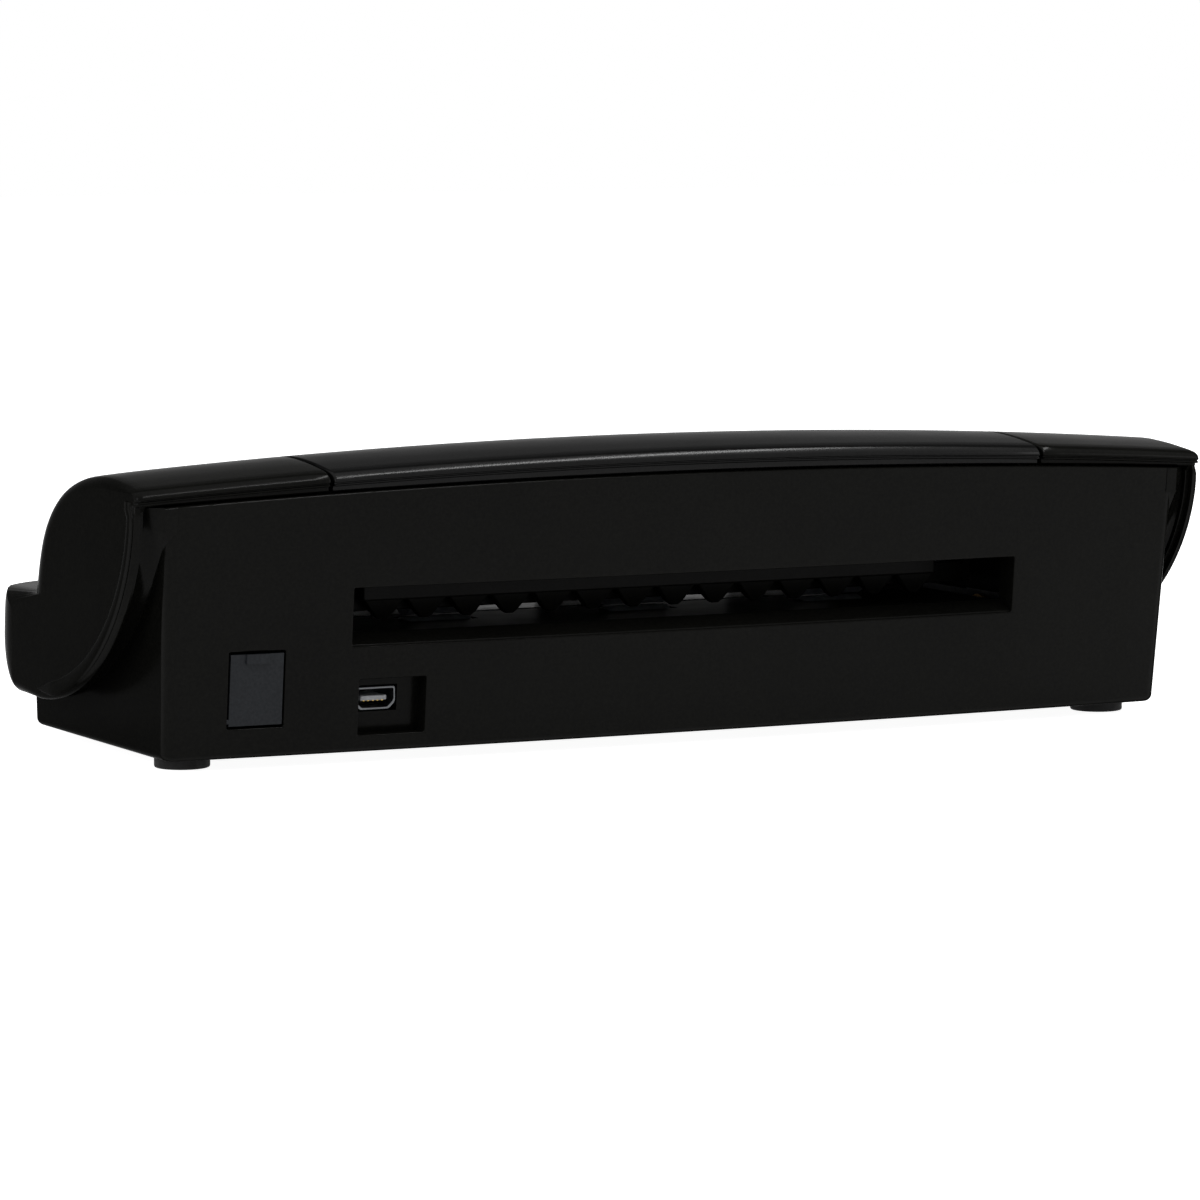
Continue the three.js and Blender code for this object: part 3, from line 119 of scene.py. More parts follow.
# Exit slot, recesses and rounded edges of the rear panel
PATH_HEIGHT = 0.0194
SLOT_WIDTH = 0.1257
SLOT_BOTTOM = 0.0177
SLOT_TOP = 0.0274
SLOT_DEPTH = 0.0047
SLOT_WALL = 0.0015
PORT_RIGHT = 0.0494
PORT_WIDTH = 0.0119
PORT_BOTTOM = 0.0029
PORT_HEIGHT = 0.0093
PORT_DEPTH = 0.0032
DOOR_RIGHT = 0.0745
DOOR_WIDTH = 0.0098
DOOR_BOTTOM = 0.005
DOOR_HEIGHT = 0.0127
DOOR_DEPTH = 0.002
EDGE_ROUND = 0.0003
BOTTOM_ROUND = 0.0012
ARRIS_ROUND = 0.0005

# Upper guide and its teeth
GUIDE_WALL = 0.0015
GUIDE_FRONT = -0.016
GUIDE_REAR = 0.017
GUIDE_SIDE = 0.0632
GUIDE_RISE = 0.03825
GUIDE_LOW = 0.0216
TOOTH_COUNT = 14
TOOTH_TOP = 0.024
TOOTH_BAR = 0.0024
TOOTH_HEIGHT = 0.0036
TOOTH_DEPTH = 0.0034

# Scan button and status lens, in the left end cover
BUTTON_FROM_END = 0.01075
BUTTON_RADIUS = 0.0044
BUTTON_PROUD = 0.001
BUTTON_DEEP = 0.004
BUTTON_TRAVEL = 0.0008
BUTTON_EDGE = 0.0006
LENS_RADIUS = 0.0011
LENS_OFFSET = 0.0086
POST_RADIUS = 0.0012
POST_LENGTH = 0.0072
POST_BESIDE = 0.006

# Feet, rollers, screws and motor
FOOT_HEIGHT = 0.002
SHAFT_RADIUS = 0.002
AXLE_RADIUS = 0.00125
SCREW_HEAD = 0.0014
SCREW_SHANK = 0.0013
CROSS_WIDTH = 0.0007
MOTOR_BOSS = 0.004
MOTOR_SEAM = 0.002

# Data socket, boards and sensors
SOCKET_SHEET = 0.0004
SOCKET_KEY = 0.00115
TONGUE_HALF = 0.0004
TONGUE_BACK = 0.0008
CONTACT_COUNT = 5
CONTACT_WIDTH = 0.00035
CONTACT_BACK = 0.0012
CONTACT_FRONT = 0.0006
CHIP_HEIGHT = 0.0012
LEG_PITCH = 0.00127
LEG_REACH = 0.0008
SENSOR_LIP = 0.0009
HOUSING_EDGE = 0.0006

# Fine edges, gaps and steps of small parts
FINE = 0.0004
HALF_FINE = FINE / 2
SMALL_EDGE = FINE / 3
THIN = FINE / 4
TINY_EDGE = FINE / 6
HAIR = FINE / 8
FINEST = FINE / 10
EDGE_STEPS = (0, 0.08, 0.3, 0.62, 1)
CORNER_STEPS = (
    0, 0.003, 0.01, 0.022, 0.04, 0.065, 0.1, 0.15, 0.21, 0.28, 0.36, 0.46, 0.58, 0.7, 0.84, 1,
)
MOUTH_SPACING = 0.004
WELD_REACH = 0.000001

# Sides of turned pieces, and the angles from which an edge is sharp or a face isn't flat
ROD_SIDES = 48
ROUND_SIDES = 80
CAN_SIDES = 96
SHARP_ANGLE = math.radians(32)
KEPT_SHARP_ANGLE = math.radians(30)
BEVEL_ANGLE = math.radians(35)
FLAT_ANGLE = math.radians(0.5)

# What follows from these sizes
BASE_HALF = BASE_WIDTH / 2
COVER_HALF = COVER_WIDTH / 2
COVER_FACE = COVER_HALF - RIDGE_HEIGHT
LID_HALF = LID_WIDTH / 2
LID_FACE = LID_HALF + GROOVE
BUTTON_OUT = BASE_HALF - BUTTON_FROM_END
TOOTH_PITCH = SLOT_WIDTH / (TOOTH_COUNT + 2)

# Camera, from the photograph's perspective: place and turn in the solids' frame
CAMERA_PLACE = (0.4394, 0.85947, 0.119)
CAMERA_AZIMUTH = math.radians(152.865)
CAMERA_ELEVATION = math.radians(5.780)
CAMERA_ROLL = math.radians(0.08)
CAMERA_LENS = 167.06
FILM_WIDTH = 36
CLIP_NEAR = 0.01
CLIP_FAR = 50

# Stage and lamps: place, size and power of each lamp
FLOOR_REACH = 3.0
FLOOR_CLOUD = 0.4
FLOOR_TONES = (0.78, 0.8)
FLOOR_GLOW = 0.95
WORLD_LIGHT = 0.3
LAMP_AIM = (0, 0, 0.03)
LAMPS = {
    "overhead": ((-0.3, 0.15, 0.9), (1.4, 0.05), 7.5),
    "left": ((1.0, 0.25, 0.45), (0.3, 0.6), 2.5),
    "right": ((-0.9, 0.5, 0.45), (0.4, 0.5), 1.5),
}

# Gloss left at flat angles, and sizes and depths of faint marks
FLAT_GLOSS = 0.0008
FADE_START = 0.3
FADE_END = 0.56
TRACK_DENSITY = 420.0
TRACK_DEPTH = 0.00003
BOARD_CLOUD = 0.003
PANE_DUST = 0.004
PANE_WAVE = 0.02
PANE_WAVE_DEPTH = 0.00001

# Moulded plastics and paint: slot, dark and light tone, roughness, size and depth of the grain,
# gloss
PLASTICS = {
    "black_shell": ("shell", 0x080807, 0x11110F, 0.2, 0.00028, 0.000006, 0.04),
    "black_top": ("lid", 0x0B0B0B, 0x141414, 0.2, 0.00024, 0.000006, 0.1),
    "black_guide": ("guide", 0x090908, 0x0F0F0E, 0.32, 0.0002, 0.000008, 0.04),
    "grey_door": ("door", 0x1B1D20, 0x26282B, 0.4, 0.00024, 0.000016, 0.1),
    "connector_black": ("connector", 0x121213, 0x19191A, 0.4, 0.00015, 0.000008, 0.3),
    "button_grey": ("button", 0x34363A, 0x3D3F43, 0.36, 0.0002, 0.000008, 0.4),
    "gear_white": ("gear", 0xD2CEC0, 0xDFDCD1, 0.42, 0.0002, 0.000006, 0.45),
    "tongue_grey": ("connector", 0xA8AAAC, 0xB6B8BA, 0.45, 0.0002, 0.000006, 0.4),
    "painted_steel": ("frame", 0x303236, 0x3A3C41, 0.42, 0.00035, 0.00002, 0.4),
    "lens_clear": ("lens", 0xB6C0B4, 0xC8D2C6, 0.2, 0.0004, 0.000003, 0.5),
    "chip_black": ("connector", 0x17181A, 0x212325, 0.5, 0.00015, 0.000005, 0.3),
}

# Rubbers: slot, dark and light tone, roughness, size of the grain
RUBBERS = {
    "foot_rubber": ("rubber", 0x0C0C0C, 0x151515, 0.8, 0.0003),
    "roller_rubber": ("roller", 0x45484A, 0x54585A, 0.78, 0.0002),
}

# Metals: slot, dark and light tone, roughness, density of the lines along X, Y and Z, their width
METALS = {
    "turned_steel": ("steel", 0x9FA3A8, 0xC3C6CA, 0.28, (1, 0.04, 0.04), 0.0002),
    "pressed_steel": ("steel", 0x8A8D91, 0xA9ACB0, 0.34, (0.06, 1, 1), 0.0003),
    "socket_shield": ("steel", 0x4A4B4D, 0x66686A, 0.36, (1, 0.1, 1), 0.0002),
    "sintered_bronze": ("brass", 0x8A6A35, 0xB08D4A, 0.42, (1, 1, 1), 0.00025),
    "contact_gold": ("brass", 0xC9A24A, 0xE0BC66, 0.25, (1, 0.1, 1), 0.0002),
}

# Chips on the main board: place along and across it, width and depth
CHIPS = [(0.22, 0.7, 0.009, 0.006), (0.55, 0.72, 0.006, 0.004), (0.78, 0.68, 0.005, 0.005)]

# Hump of the upper shell: share of its depth towards the rear, share of its rise
HUMP_SHARES = [
    (0, 0), (0.018, 0.125), (0.041, 0.265), (0.076, 0.417), (0.131, 0.568), (0.213, 0.712),
    (0.321, 0.837), (0.464, 0.936), (0.615, 0.989), (0.72, 1), (0.828, 0.985), (0.924, 0.958),
    (0.957, 0.945), (0.974, 0.934), (0.987, 0.918), (0.9955, 0.9), (1, 0.88),
]

# Two places along the hump, between which the scan button sits
BUTTON_SHARES = [(0.076, 0.417), (0.131, 0.568)]

# Feed lip: share of its reach towards the front, share of its height
LIP_SHARES = [
    (0, 0.06), (0.25, 0.085), (0.45, 0.12), (0.62, 0.17), (0.76, 0.23), (0.87, 0.3),
    (0.95, 0.39), (1, 0.52), (0.99, 0.66), (0.965, 0.78), (0.93, 0.88), (0.88, 0.95), (0.8, 1),
]
INNER_LIP_SHARES = [
    (0.2, 0.18), (0.48, 0.24), (0.7, 0.33), (0.84, 0.45), (0.89, 0.6), (0.87, 0.78), (0.78, 0.89),
]

# Where the hump's inner side ends towards the rear, and where the tray's lip begins
INNER_HUMP_SHARE = 0.96
LIP_START_SHARE = 0.35

# Below the rounded bead: its upright face, a groove and a fine second edge, each as a
# setback and a drop
BEAD_PROFILE = [
    (0, 0.0002), (0.0001, 0.0003), (0.0004, 0.00037), (0.00042, 0.0005), (0.00016, 0.00057),
    (0.00012, 0.00077), (0.00025, 0.00087),
]


# Materials

def set_inputs(tree, node, **values):
    """Sets a node's input sockets by name, or links them where the value is a socket."""
    for name, value in values.items():
        socket = node.inputs[name.replace("_", " ")]
        if isinstance(value, bpy.types.NodeSocket):
            tree.links.new(value, socket)
        else:
            socket.default_value = value


def node_of(tree, kind, **values):
    node = tree.nodes.new(kind)
    set_inputs(tree, node, **values)
    return node


def maths(tree, operation, first, second):
    node = tree.nodes.new("ShaderNodeMath")
    node.operation = operation
    tree.links.new(first, node.inputs[0])
    tree.links.new(second, node.inputs[1])
    return node.outputs[0]


def noise(tree, place, size, detail=3.0):
    node = node_of(tree, "ShaderNodeTexNoise", Vector=place, Scale=1 / size, Detail=detail)
    return node.outputs["Fac"]


def ranged(tree, value, start, end, low, high):
    """Maps the range from start to end to the range from low to high."""
    limits = {"From_Min": start, "From_Max": end, "To_Min": low, "To_Max": high}
    return node_of(tree, "ShaderNodeMapRange", Value=value, **limits).outputs["Result"]


def spread(tree, value, low, high):
    """Maps the middle of a noise to the range from low to high."""
    return ranged(tree, value, 0.3, 0.7, low, high)


def linear(hexadecimal):
    """The scene's linear colour of an sRGB colour."""
    parts = [(hexadecimal >> shift & 255) / 255 for shift in (16, 8, 0)]
    return (*(p / 12.92 if p <= 0.04045 else ((p + 0.055) / 1.055) ** 2.4 for p in parts), 1)


def between(tree, value, dark, light):
    """A colour between two sRGB colours."""
    node = tree.nodes.new("ShaderNodeMix")
    node.data_type = "RGBA"
    tree.links.new(value, node.inputs[0])
    node.inputs[6].default_value = linear(dark)
    node.inputs[7].default_value = linear(light)
    return node.outputs[2]


def bumped(tree, height, depth, **before):
    node = node_of(tree, "ShaderNodeBump", Height=height, Distance=depth, **before)
    return node.outputs["Normal"]


def fading_gloss(tree, shader, level):
    """Gloss that fades out at flat angles, where a fine grain scatters it."""
    facing = node_of(tree, "ShaderNodeLayerWeight", Blend=0.5).outputs["Facing"]
    gloss = ranged(tree, facing, FADE_START, FADE_END, level, FLAT_GLOSS)
    set_inputs(tree, shader, Specular_IOR_Level=gloss)


def start_material(name):
    material = bpy.data.materials.new(name)
    material.use_nodes = True
    tree = material.node_tree
    tree.nodes.clear()
    place = tree.nodes.new("ShaderNodeTexCoord").outputs["Object"]
    shader = tree.nodes.new("ShaderNodeBsdfPrincipled")
    output = tree.nodes.new("ShaderNodeOutputMaterial")
    tree.links.new(shader.outputs[0], output.inputs[0])
    return material, tree, place, shader


def moulded(name, dark, light, rough, grain, depth, gloss):
    """Moulded plastic: paler specks in an eroded grain, faint flow marks, handling sheen."""
    material, tree, place, shader = start_material(name)
    flow = spread(tree, noise(tree, place, grain * 90, 2.0), 0, 0.3)
    specks = spread(tree, noise(tree, place, grain * 2, 2.0), 0, 0.7)
    tone = between(tree, maths(tree, "ADD", flow, specks), dark, light)
    sheen = spread(tree, noise(tree, place, grain * 28), rough - 0.02, rough + 0.02)
    coarse = bumped(tree, noise(tree, place, grain * 3, 1.0), depth)
    fine = bumped(tree, noise(tree, place, grain, 2.0), depth / 3, Normal=coarse)
    set_inputs(tree, shader, Base_Color=tone, Roughness=sheen, Normal=fine)
    fading_gloss(tree, shader, gloss)
    return material


def rubber(name, dark, light, rough, grain):
    """Moulded or ground rubber: matt, dusty in its grain."""
    material, tree, place, shader = start_material(name)
    dust = spread(tree, noise(tree, place, grain * 12), 0, 1)
    dry = spread(tree, noise(tree, place, grain * 5), rough - 0.06, rough + 0.06)
    pits = bumped(tree, noise(tree, place, grain), grain / 8)
    set_inputs(tree, shader, Base_Color=between(tree, dust, dark, light), Roughness=dry, Normal=pits)
    set_inputs(tree, shader, Specular_IOR_Level=0.3)
    return material


def metal(name, dark, light, rough, density, width):
    """Turned or rolled metal, with fine lines where their density differs between the axes."""
    material, tree, place, shader = start_material(name)
    stretch = node_of(tree, "ShaderNodeMapping", Vector=place, Scale=density)
    lines = noise(tree, stretch.outputs[0], width, 4.0)
    tone = between(tree, spread(tree, lines, 0, 1), dark, light)
    sheen = spread(tree, lines, rough - 0.07, rough + 0.09)
    set_inputs(tree, shader, Base_Color=tone, Roughness=sheen, Metallic=1.0)
    set_inputs(tree, shader, Normal=bumped(tree, lines, width / 20))
    return material


def circuit():
    """A circuit board: solder mask over faint tracks."""
    material, tree, place, shader = start_material("circuit_board")
    tracks = node_of(tree, "ShaderNodeTexBrick", Vector=place, Scale=TRACK_DENSITY, Mortar_Size=0.06)
    set_inputs(tree, tracks, Color1=linear(0x1A5030), Color2=linear(0x17472B))
    set_inputs(tree, tracks, Mortar=linear(0x2C6B42))
    sheen = spread(tree, noise(tree, place, BOARD_CLOUD), 0.3, 0.45)
    raised = bumped(tree, tracks.outputs["Fac"], TRACK_DEPTH)
    set_inputs(tree, shader, Base_Color=tracks.outputs["Color"], Roughness=sheen, Normal=raised)
    return material


def pane():
    """A smoked scanner pane, with a trace of dust in its sheen."""
    material, tree, place, shader = start_material("sensor_glass")
    dust = noise(tree, place, PANE_DUST)
    tone = between(tree, dust, 0x161B1A, 0x1F2523)
    wave = bumped(tree, noise(tree, place, PANE_WAVE), PANE_WAVE_DEPTH)
    sheen = spread(tree, dust, 0.16, 0.26)
    set_inputs(tree, shader, Base_Color=tone, Roughness=sheen, Normal=wave)
    set_inputs(tree, shader, Transmission_Weight=0.15, IOR=1.5)
    fading_gloss(tree, shader, 0.4)
    return material


# Forms of the shells

def bow(x):
    return REAR_BOW * (1 - (x / BASE_HALF) ** 2)


def panel_top(x):
    return PANEL_HEIGHT - PANEL_DROP * (x / BASE_HALF) ** 2


def rear_at(x, z):
    return BASE_DEPTH / 2 + REAR_OFFSET + bow(x) + PANEL_TOP_OFFSET * z / PANEL_HEIGHT


def side_at(z):
    return BASE_HALF + SIDE_TOP_OFFSET * z / PANEL_HEIGHT


SHIFT = (LIP_FRONT - rear_at(0, PANEL_HEIGHT)) / 2


def drawn_in(radius, from_end):
    """How far a rounded edge is drawn in, at a distance from its end."""
    if from_end >= radius:
        return 0.0
    return radius - math.sqrt(radius ** 2 - (radius - from_end) ** 2)


def smooth(points, spans):
    """A curve through the points, with that many spans between two of them."""
    p = np.array(points, float)
    p = np.vstack([2 * p[0] - p[1], p, 2 * p[-1] - p[-2]])
    out = []
    for i in range(1, len(p) - 2):
        a, b, c, d = p[i - 1:i + 3]
        for t in np.arange(spans) / spans:
            out.append(0.5 * (
                2 * b + (c - a) * t + (2 * a - 5 * b + 4 * c - d) * t ** 2
                + (3 * b - a - 3 * c + d) * t ** 3
            ))
    out.append(p[-2])
    return np.array(out)


HUMP = smooth(HUMP_SHARES, 5)
LIP = smooth(LIP_SHARES, 5)
HUMP_RISE = CROWN_HEIGHT - HUMP_FOOT
HUMP_DEPTH = rear_at(0, PANEL_HEIGHT) - BEAD_SETBACK + HUMP_FRONT
LID_SKIRT_REAR = rear_at(LID_HALF, LID_SKIRT) - BASE_WALL - SKIRT_GAP
FLARE_BACK = BASE_DEPTH / 2 - FLARE_FROM_FRONT
FLARE_ALONG = rear_at(BASE_HALF, FLARE_TOP) + FLARE_BACK
FLARE_UP = FLARE_TOP - FLARE_FOOT
FLARE_RADIUS = (FLARE_ALONG ** 2 + FLARE_UP ** 2) / (2 * FLARE_UP)


def hump_points(shares, x, from_end, wall=0.0):
    """The hump's profile at a place across the shell, drawn in near its end."""
    along, up = shares[:, 0], shares[:, 1]
    share = (x / COVER_HALF) ** 2
    y = -HUMP_FRONT + HUMP_FRONT_BOW * share * (1 - along)
    y = y + (HUMP_DEPTH - REAR_BOW * (x / BASE_HALF) ** 2) * along
    y = y + drawn_in(HUMP_CORNER - wall, from_end - wall) * (1 - along) ** 2
    y = y - drawn_in(HUMP_REAR_CORNER - wall, from_end - wall) * along ** 8
    z = HUMP_FOOT + (HUMP_RISE - CROWN_DROP * share) * up
    z = z - drawn_in(HUMP_EDGE - wall, from_end - wall) * up * (1 - along ** 8)
    return np.column_stack([y, z])


def lip_points(shares, x, from_end, wall=0.0):
    """The feed lip's profile at a place across the shell, drawn in near its end."""
    along, up = shares[:, 0], shares[:, 1]
    y = -HUMP_FRONT - (LIP_FRONT - HUMP_FRONT) * along
    y = y + LIP_FRONT_BOW * (x / COVER_HALF) ** 2 * along
    y = y + drawn_in(LIP_CORNER - wall, from_end - wall) * along
    edge = drawn_in(LIP_EDGE - wall, from_end - wall)
    z = LIP_BOTTOM + (LIP_TOP - LIP_BOTTOM) * up - edge * up + edge * (1 - up)
    return np.column_stack([y, z])


def band_at(x, from_end, wall=0.0):
    turn = drawn_in(HUMP_REAR_CORNER - wall, from_end - wall)
    return rear_at(x, panel_top(x)) - BAND_SETBACK - turn


def foot_at(x):
    return panel_top(x) + SHELL_GAP


def band_points(x, from_end):
    """The bead's face and fine edges, the band below them and its rounded foot."""
    y = band_at(x, from_end)
    bead = hump_points(HUMP[-1:], x, from_end)[0]
    foot = foot_at(x)
    fine = [(bead[0] - back, bead[1] - drop) for back, drop in BEAD_PROFILE]
    return np.array([
        *fine,
        (y, fine[-1][1] - THIN),
        (y, foot + HALF_FINE),
        (y - HALF_FINE, foot),
    ])


def normals(outline, closed=False):
    """Unit vectors to the right-hand side of an outline, at each of its points."""
    if closed:
        along = np.roll(outline, -1, axis=0) - np.roll(outline, 1, axis=0)
    else:
        along = np.vstack([outline[1:], outline[-1:]]) - np.vstack([outline[:1], outline[:-1]])
    along = along / np.linalg.norm(along, axis=1)[:, None]
    return np.column_stack([along[:, 1], -along[:, 0]])


def offset(outline, distance, closed=False):
    """Moves an outline's points to their right-hand side."""
    return outline + normals(outline, closed) * distance


def rim(inset, count=40):
    """The cheek's lower edge, from the rear corner down to the front: nearly an ellipse."""
    angle = np.linspace(0, math.pi / 2, count)
    across = np.abs(np.cos(angle)) ** RIM_BEND
    down = np.sin(angle) ** RIM_BEND
    y = -RIM_BACK + (RIM_DEPTH - inset) * across
    return np.column_stack([y, RIM_HEIGHT - (RIM_HEIGHT - RIM_FOOT - inset) * down])


def rim_inset(from_end):
    """Rounded at the end face, with a step inwards that leaves a dark line by the flare."""
    return drawn_in(BEAD_RADIUS, from_end) + (RIM_STEP if from_end > RIM_STEP_IN else 0)


def inner_hump(x, from_end):
    shares = HUMP[HUMP[:, 0] < INNER_HUMP_SHARE]
    inner = offset(hump_points(shares, x, from_end, COVER_WALL), COVER_WALL)
    rear = band_at(x, from_end, COVER_WALL) - COVER_WALL
    return np.vstack([inner, [[rear, foot_at(x)]]])


# Meshes

def add(name, data):
    made = bpy.data.objects.new(name, data)
    scene.collection.objects.link(made)
    return made


def loft(name, rings, closed=False):
    """A solid through rings of equal length, with flat ends or joined into one round."""
    count = len(rings[0])
    points = [Vector((x, y + SHIFT, z + FOOT_HEIGHT)) for ring in rings for x, y, z in ring]
    faces = []
    for r in range(len(rings) - (0 if closed else 1)):
        low, high = r * count, (r + 1) % len(rings) * count
        for i in range(count):
            j = (i + 1) % count
            faces.append((low + i, low + j, high + j))
            faces.append((low + i, high + j, high + i))
    if not closed:
        faces.append(tuple(range(count))[::-1])
        faces.append(tuple(range(len(points) - count, len(points))))
    mesh = bpy.data.meshes.new(name)
    mesh.from_pydata(points, [], faces)
    if volume(points, faces) < 0:
        mesh.flip_normals()
    return add(name, mesh)


def volume(points, faces):
    """Six times a closed mesh's volume, below zero when its faces look inwards."""
    total = 0.0
    for face in faces:
        first, *rest = [points[v] for v in face]
        total += sum(first.dot(a.cross(b)) for a, b in zip(rest, rest[1:]))
    return total


def loft_x(name, places, section_at):
    return loft(name, [[(x, y, z) for y, z in section_at(x)] for x in places])


def baked(made):
    """Gives an object the mesh that its modifiers make."""
    depsgraph = bpy.context.evaluated_depsgraph_get()
    mesh = bpy.data.meshes.new_from_object(made.evaluated_get(depsgraph))
    made.modifiers.clear()
    made.data = mesh
    return made


def combine(made, tools, operation):
    for tool in tools:
        modifier = made.modifiers.new(operation, "BOOLEAN")
        modifier.operation = operation
        modifier.solver = "MANIFOLD"
        modifier.object = tool
    baked(made)
    for tool in tools:
        bpy.data.objects.remove(tool)
    return made


def cut(made, *tools):
    return combine(made, tools, "DIFFERENCE")


def join(made, *tools):
    return combine(made, tools, "UNION")


def painted(made, look):
    """Smooth shading and a look."""
    mesh = made.data
    mesh.polygons.foreach_set("use_smooth", [True] * len(mesh.polygons))
    mesh.materials.clear()
    mesh.materials.append(LOOKS[look][1])


def evened(made):
    modifier = made.modifiers.new("even", "WEIGHTED_NORMAL")
    modifier.keep_sharp = True


def dress(made, look, node=None, body="base"):
    """Shades a piece, gives it its look, and says what it replaces and rides on."""
    painted(made, look)
    made.data.set_sharp_from_angle(angle=SHARP_ANGLE)
    evened(made)
    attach(made, body)
    if node:
        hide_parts(node)


def prism_x(name, outline, xs):
    return loft_x(name, xs, lambda x: outline)


def around(middle, half):
    """The two ends of a span."""
    return middle - half, middle + half


def grown(span, gap):
    return span[0] - gap, span[1] + gap


def framed(near, far, low, high):
    """The four corners of a profile."""
    return [(near, low), (near, high), (far, high), (far, low)]


def rounded(points, radius, closed=False):
    """The outline with its corners rounded; an open one keeps its two ends."""
    points = [np.array(point, float) for point in points]
    out = []
    for i, corner in enumerate(points):
        if not closed and i in (0, len(points) - 1):
            out.append(corner)
            continue
        before = points[i - 1] - corner
        after = points[(i + 1) % len(points)] - corner
        start = before * min(0.45, radius / np.linalg.norm(before))
        end = after * min(0.45, radius / np.linalg.norm(after))
        for t in (0, 0.2, 0.5, 0.8, 1):
            out.append(corner + (1 - t) ** 2 * start + t * t * end)
    return out


def turned(name, profile, centre, axis, sides=64, closed=False):
    """A body turned about an axis; the profile holds radii and places along the axis."""
    axis = Vector(axis).normalized()
    across = Vector((0, 1, 0)) if abs(axis.x) > 0.5 else Vector((1, 0, 0))
    other = axis.cross(across)
    rings = []
    for radius, along in profile:
        middle = Vector(centre) + axis * float(along)
        rings.append([
            middle + (across * math.cos(a) + other * math.sin(a)) * float(radius)
            for a in np.linspace(0, 2 * math.pi, sides, endpoint=False)
        ])
    return loft(name, rings, closed)


def rod(name, radius, start, end, centre):
    """A round bar along X; centre holds its Y and Z."""
    return turned(name, [(radius, start), (radius, end)], (0, *centre), (1, 0, 0), ROD_SIDES)


def tyres(end):
    return [box_of(f"{end}_roller_tyre_{number}") for number in (1, 2, 3)]


def block(name, xs, ys, zs, edge=0.0):
    """A block, whose edges can be rounded."""
    if not edge:
        return prism_x(name, framed(*ys, *zs), xs)
    rings = []
    for share in (0, 0.12, 0.4, 1):
        inset = drawn_in(edge, edge * share)
        outline = framed(*grown(ys, -inset), *grown(zs, -inset))
        rings.append((edge * share, rounded(outline, edge, True)))
    levels = [(xs[0] + along, ring) for along, ring in rings]
    levels += [(xs[1] - along, ring) for along, ring in rings[::-1]]
    return loft(name, [[(x, y, z) for y, z in ring] for x, ring in levels])


def box_of(node):
    """A solid's corners, in the forms' own frame."""
    low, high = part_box(node)
    moved = Vector((0, SHIFT, FOOT_HEIGHT))
    return Vector(low) - moved, Vector(high) - moved


def spans_of(node):
    """A solid's spans along X, Y and Z."""
    return list(zip(*box_of(node)))


def on_button(name, profile, beside=0.0):
    """A body turned about the scan button's axis, at a distance beside it."""
    low, high = hump_points(np.array(BUTTON_SHARES), BUTTON_OUT, COVER_HALF - BUTTON_OUT)
    along = (high - low) / np.linalg.norm(high - low)
    middle = (low + high) / 2
    centre = (BUTTON_OUT - beside, *middle)
    return turned(name, profile, centre, (0, -along[1], along[0]))


# Shells

def end_stations(reach):
    """Places in from an end cover's face, close together at its corner, its step and its seam."""
    step = [RIM_STEP_IN - HAIR, RIM_STEP_IN + HAIR]
    corner = np.sort(np.concatenate([np.array(CORNER_STEPS) * LIP_CORNER, step]))
    middle = np.linspace(LIP_CORNER, reach - FINE, 6)[1:]
    return np.concatenate([corner, middle, [reach - SMALL_EDGE, reach - FINEST, reach]])


def end_cover_section(x):
    from_end = COVER_FACE - abs(x)
    reach = COVER_FACE - LID_FACE
    outline = np.vstack([
        hump_points(HUMP, x, from_end),
        band_points(x, from_end),
        rim(rim_inset(from_end)),
        lip_points(LIP, x, from_end),
    ])
    return offset(outline, drawn_in(FINE, reach - from_end), True)


def end_cover_hollow(x):
    from_end = COVER_FACE - abs(x)
    hump = inner_hump(x, from_end)
    lip = lip_points(np.array(INNER_LIP_SHARES), x, from_end, COVER_WALL)
    return np.vstack([
        [[hump[0][0], lip[-1][1]]],
        hump,
        [[BASE_DEPTH, foot_at(x)]],
        rim(-COVER_WALL),
        [[lip[0][0], LIP_BOTTOM - COVER_WALL]],
        lip,
    ])


def cheek_ridge(side):
    """The raised bead that runs down the cheek's rear edge and along its rim."""
    half = RIDGE_WIDTH / 2
    top = foot_at(COVER_FACE) + RIDGE_WIDTH / 3
    rear = band_at(COVER_FACE, 0) - half
    path = np.vstack([[[rear, top], [rear, top - half]], rim(BEAD_RADIUS / 2 + half, 48)[1:]])
    rings = []
    taper = np.minimum(1, np.linspace(0, len(path) / 6, len(path))[::-1] + 0.05)
    for point, across, size in zip(path, normals(path), taper):
        ring = []
        for angle in np.linspace(0, 2 * math.pi, 16, endpoint=False):
            y, z = point + across * half * size * math.cos(angle)
            x = COVER_FACE + RIDGE_HEIGHT * size * math.sin(angle)
            ring.append((side * x, y, z))
        rings.append(ring)
    return loft("ridge", rings)


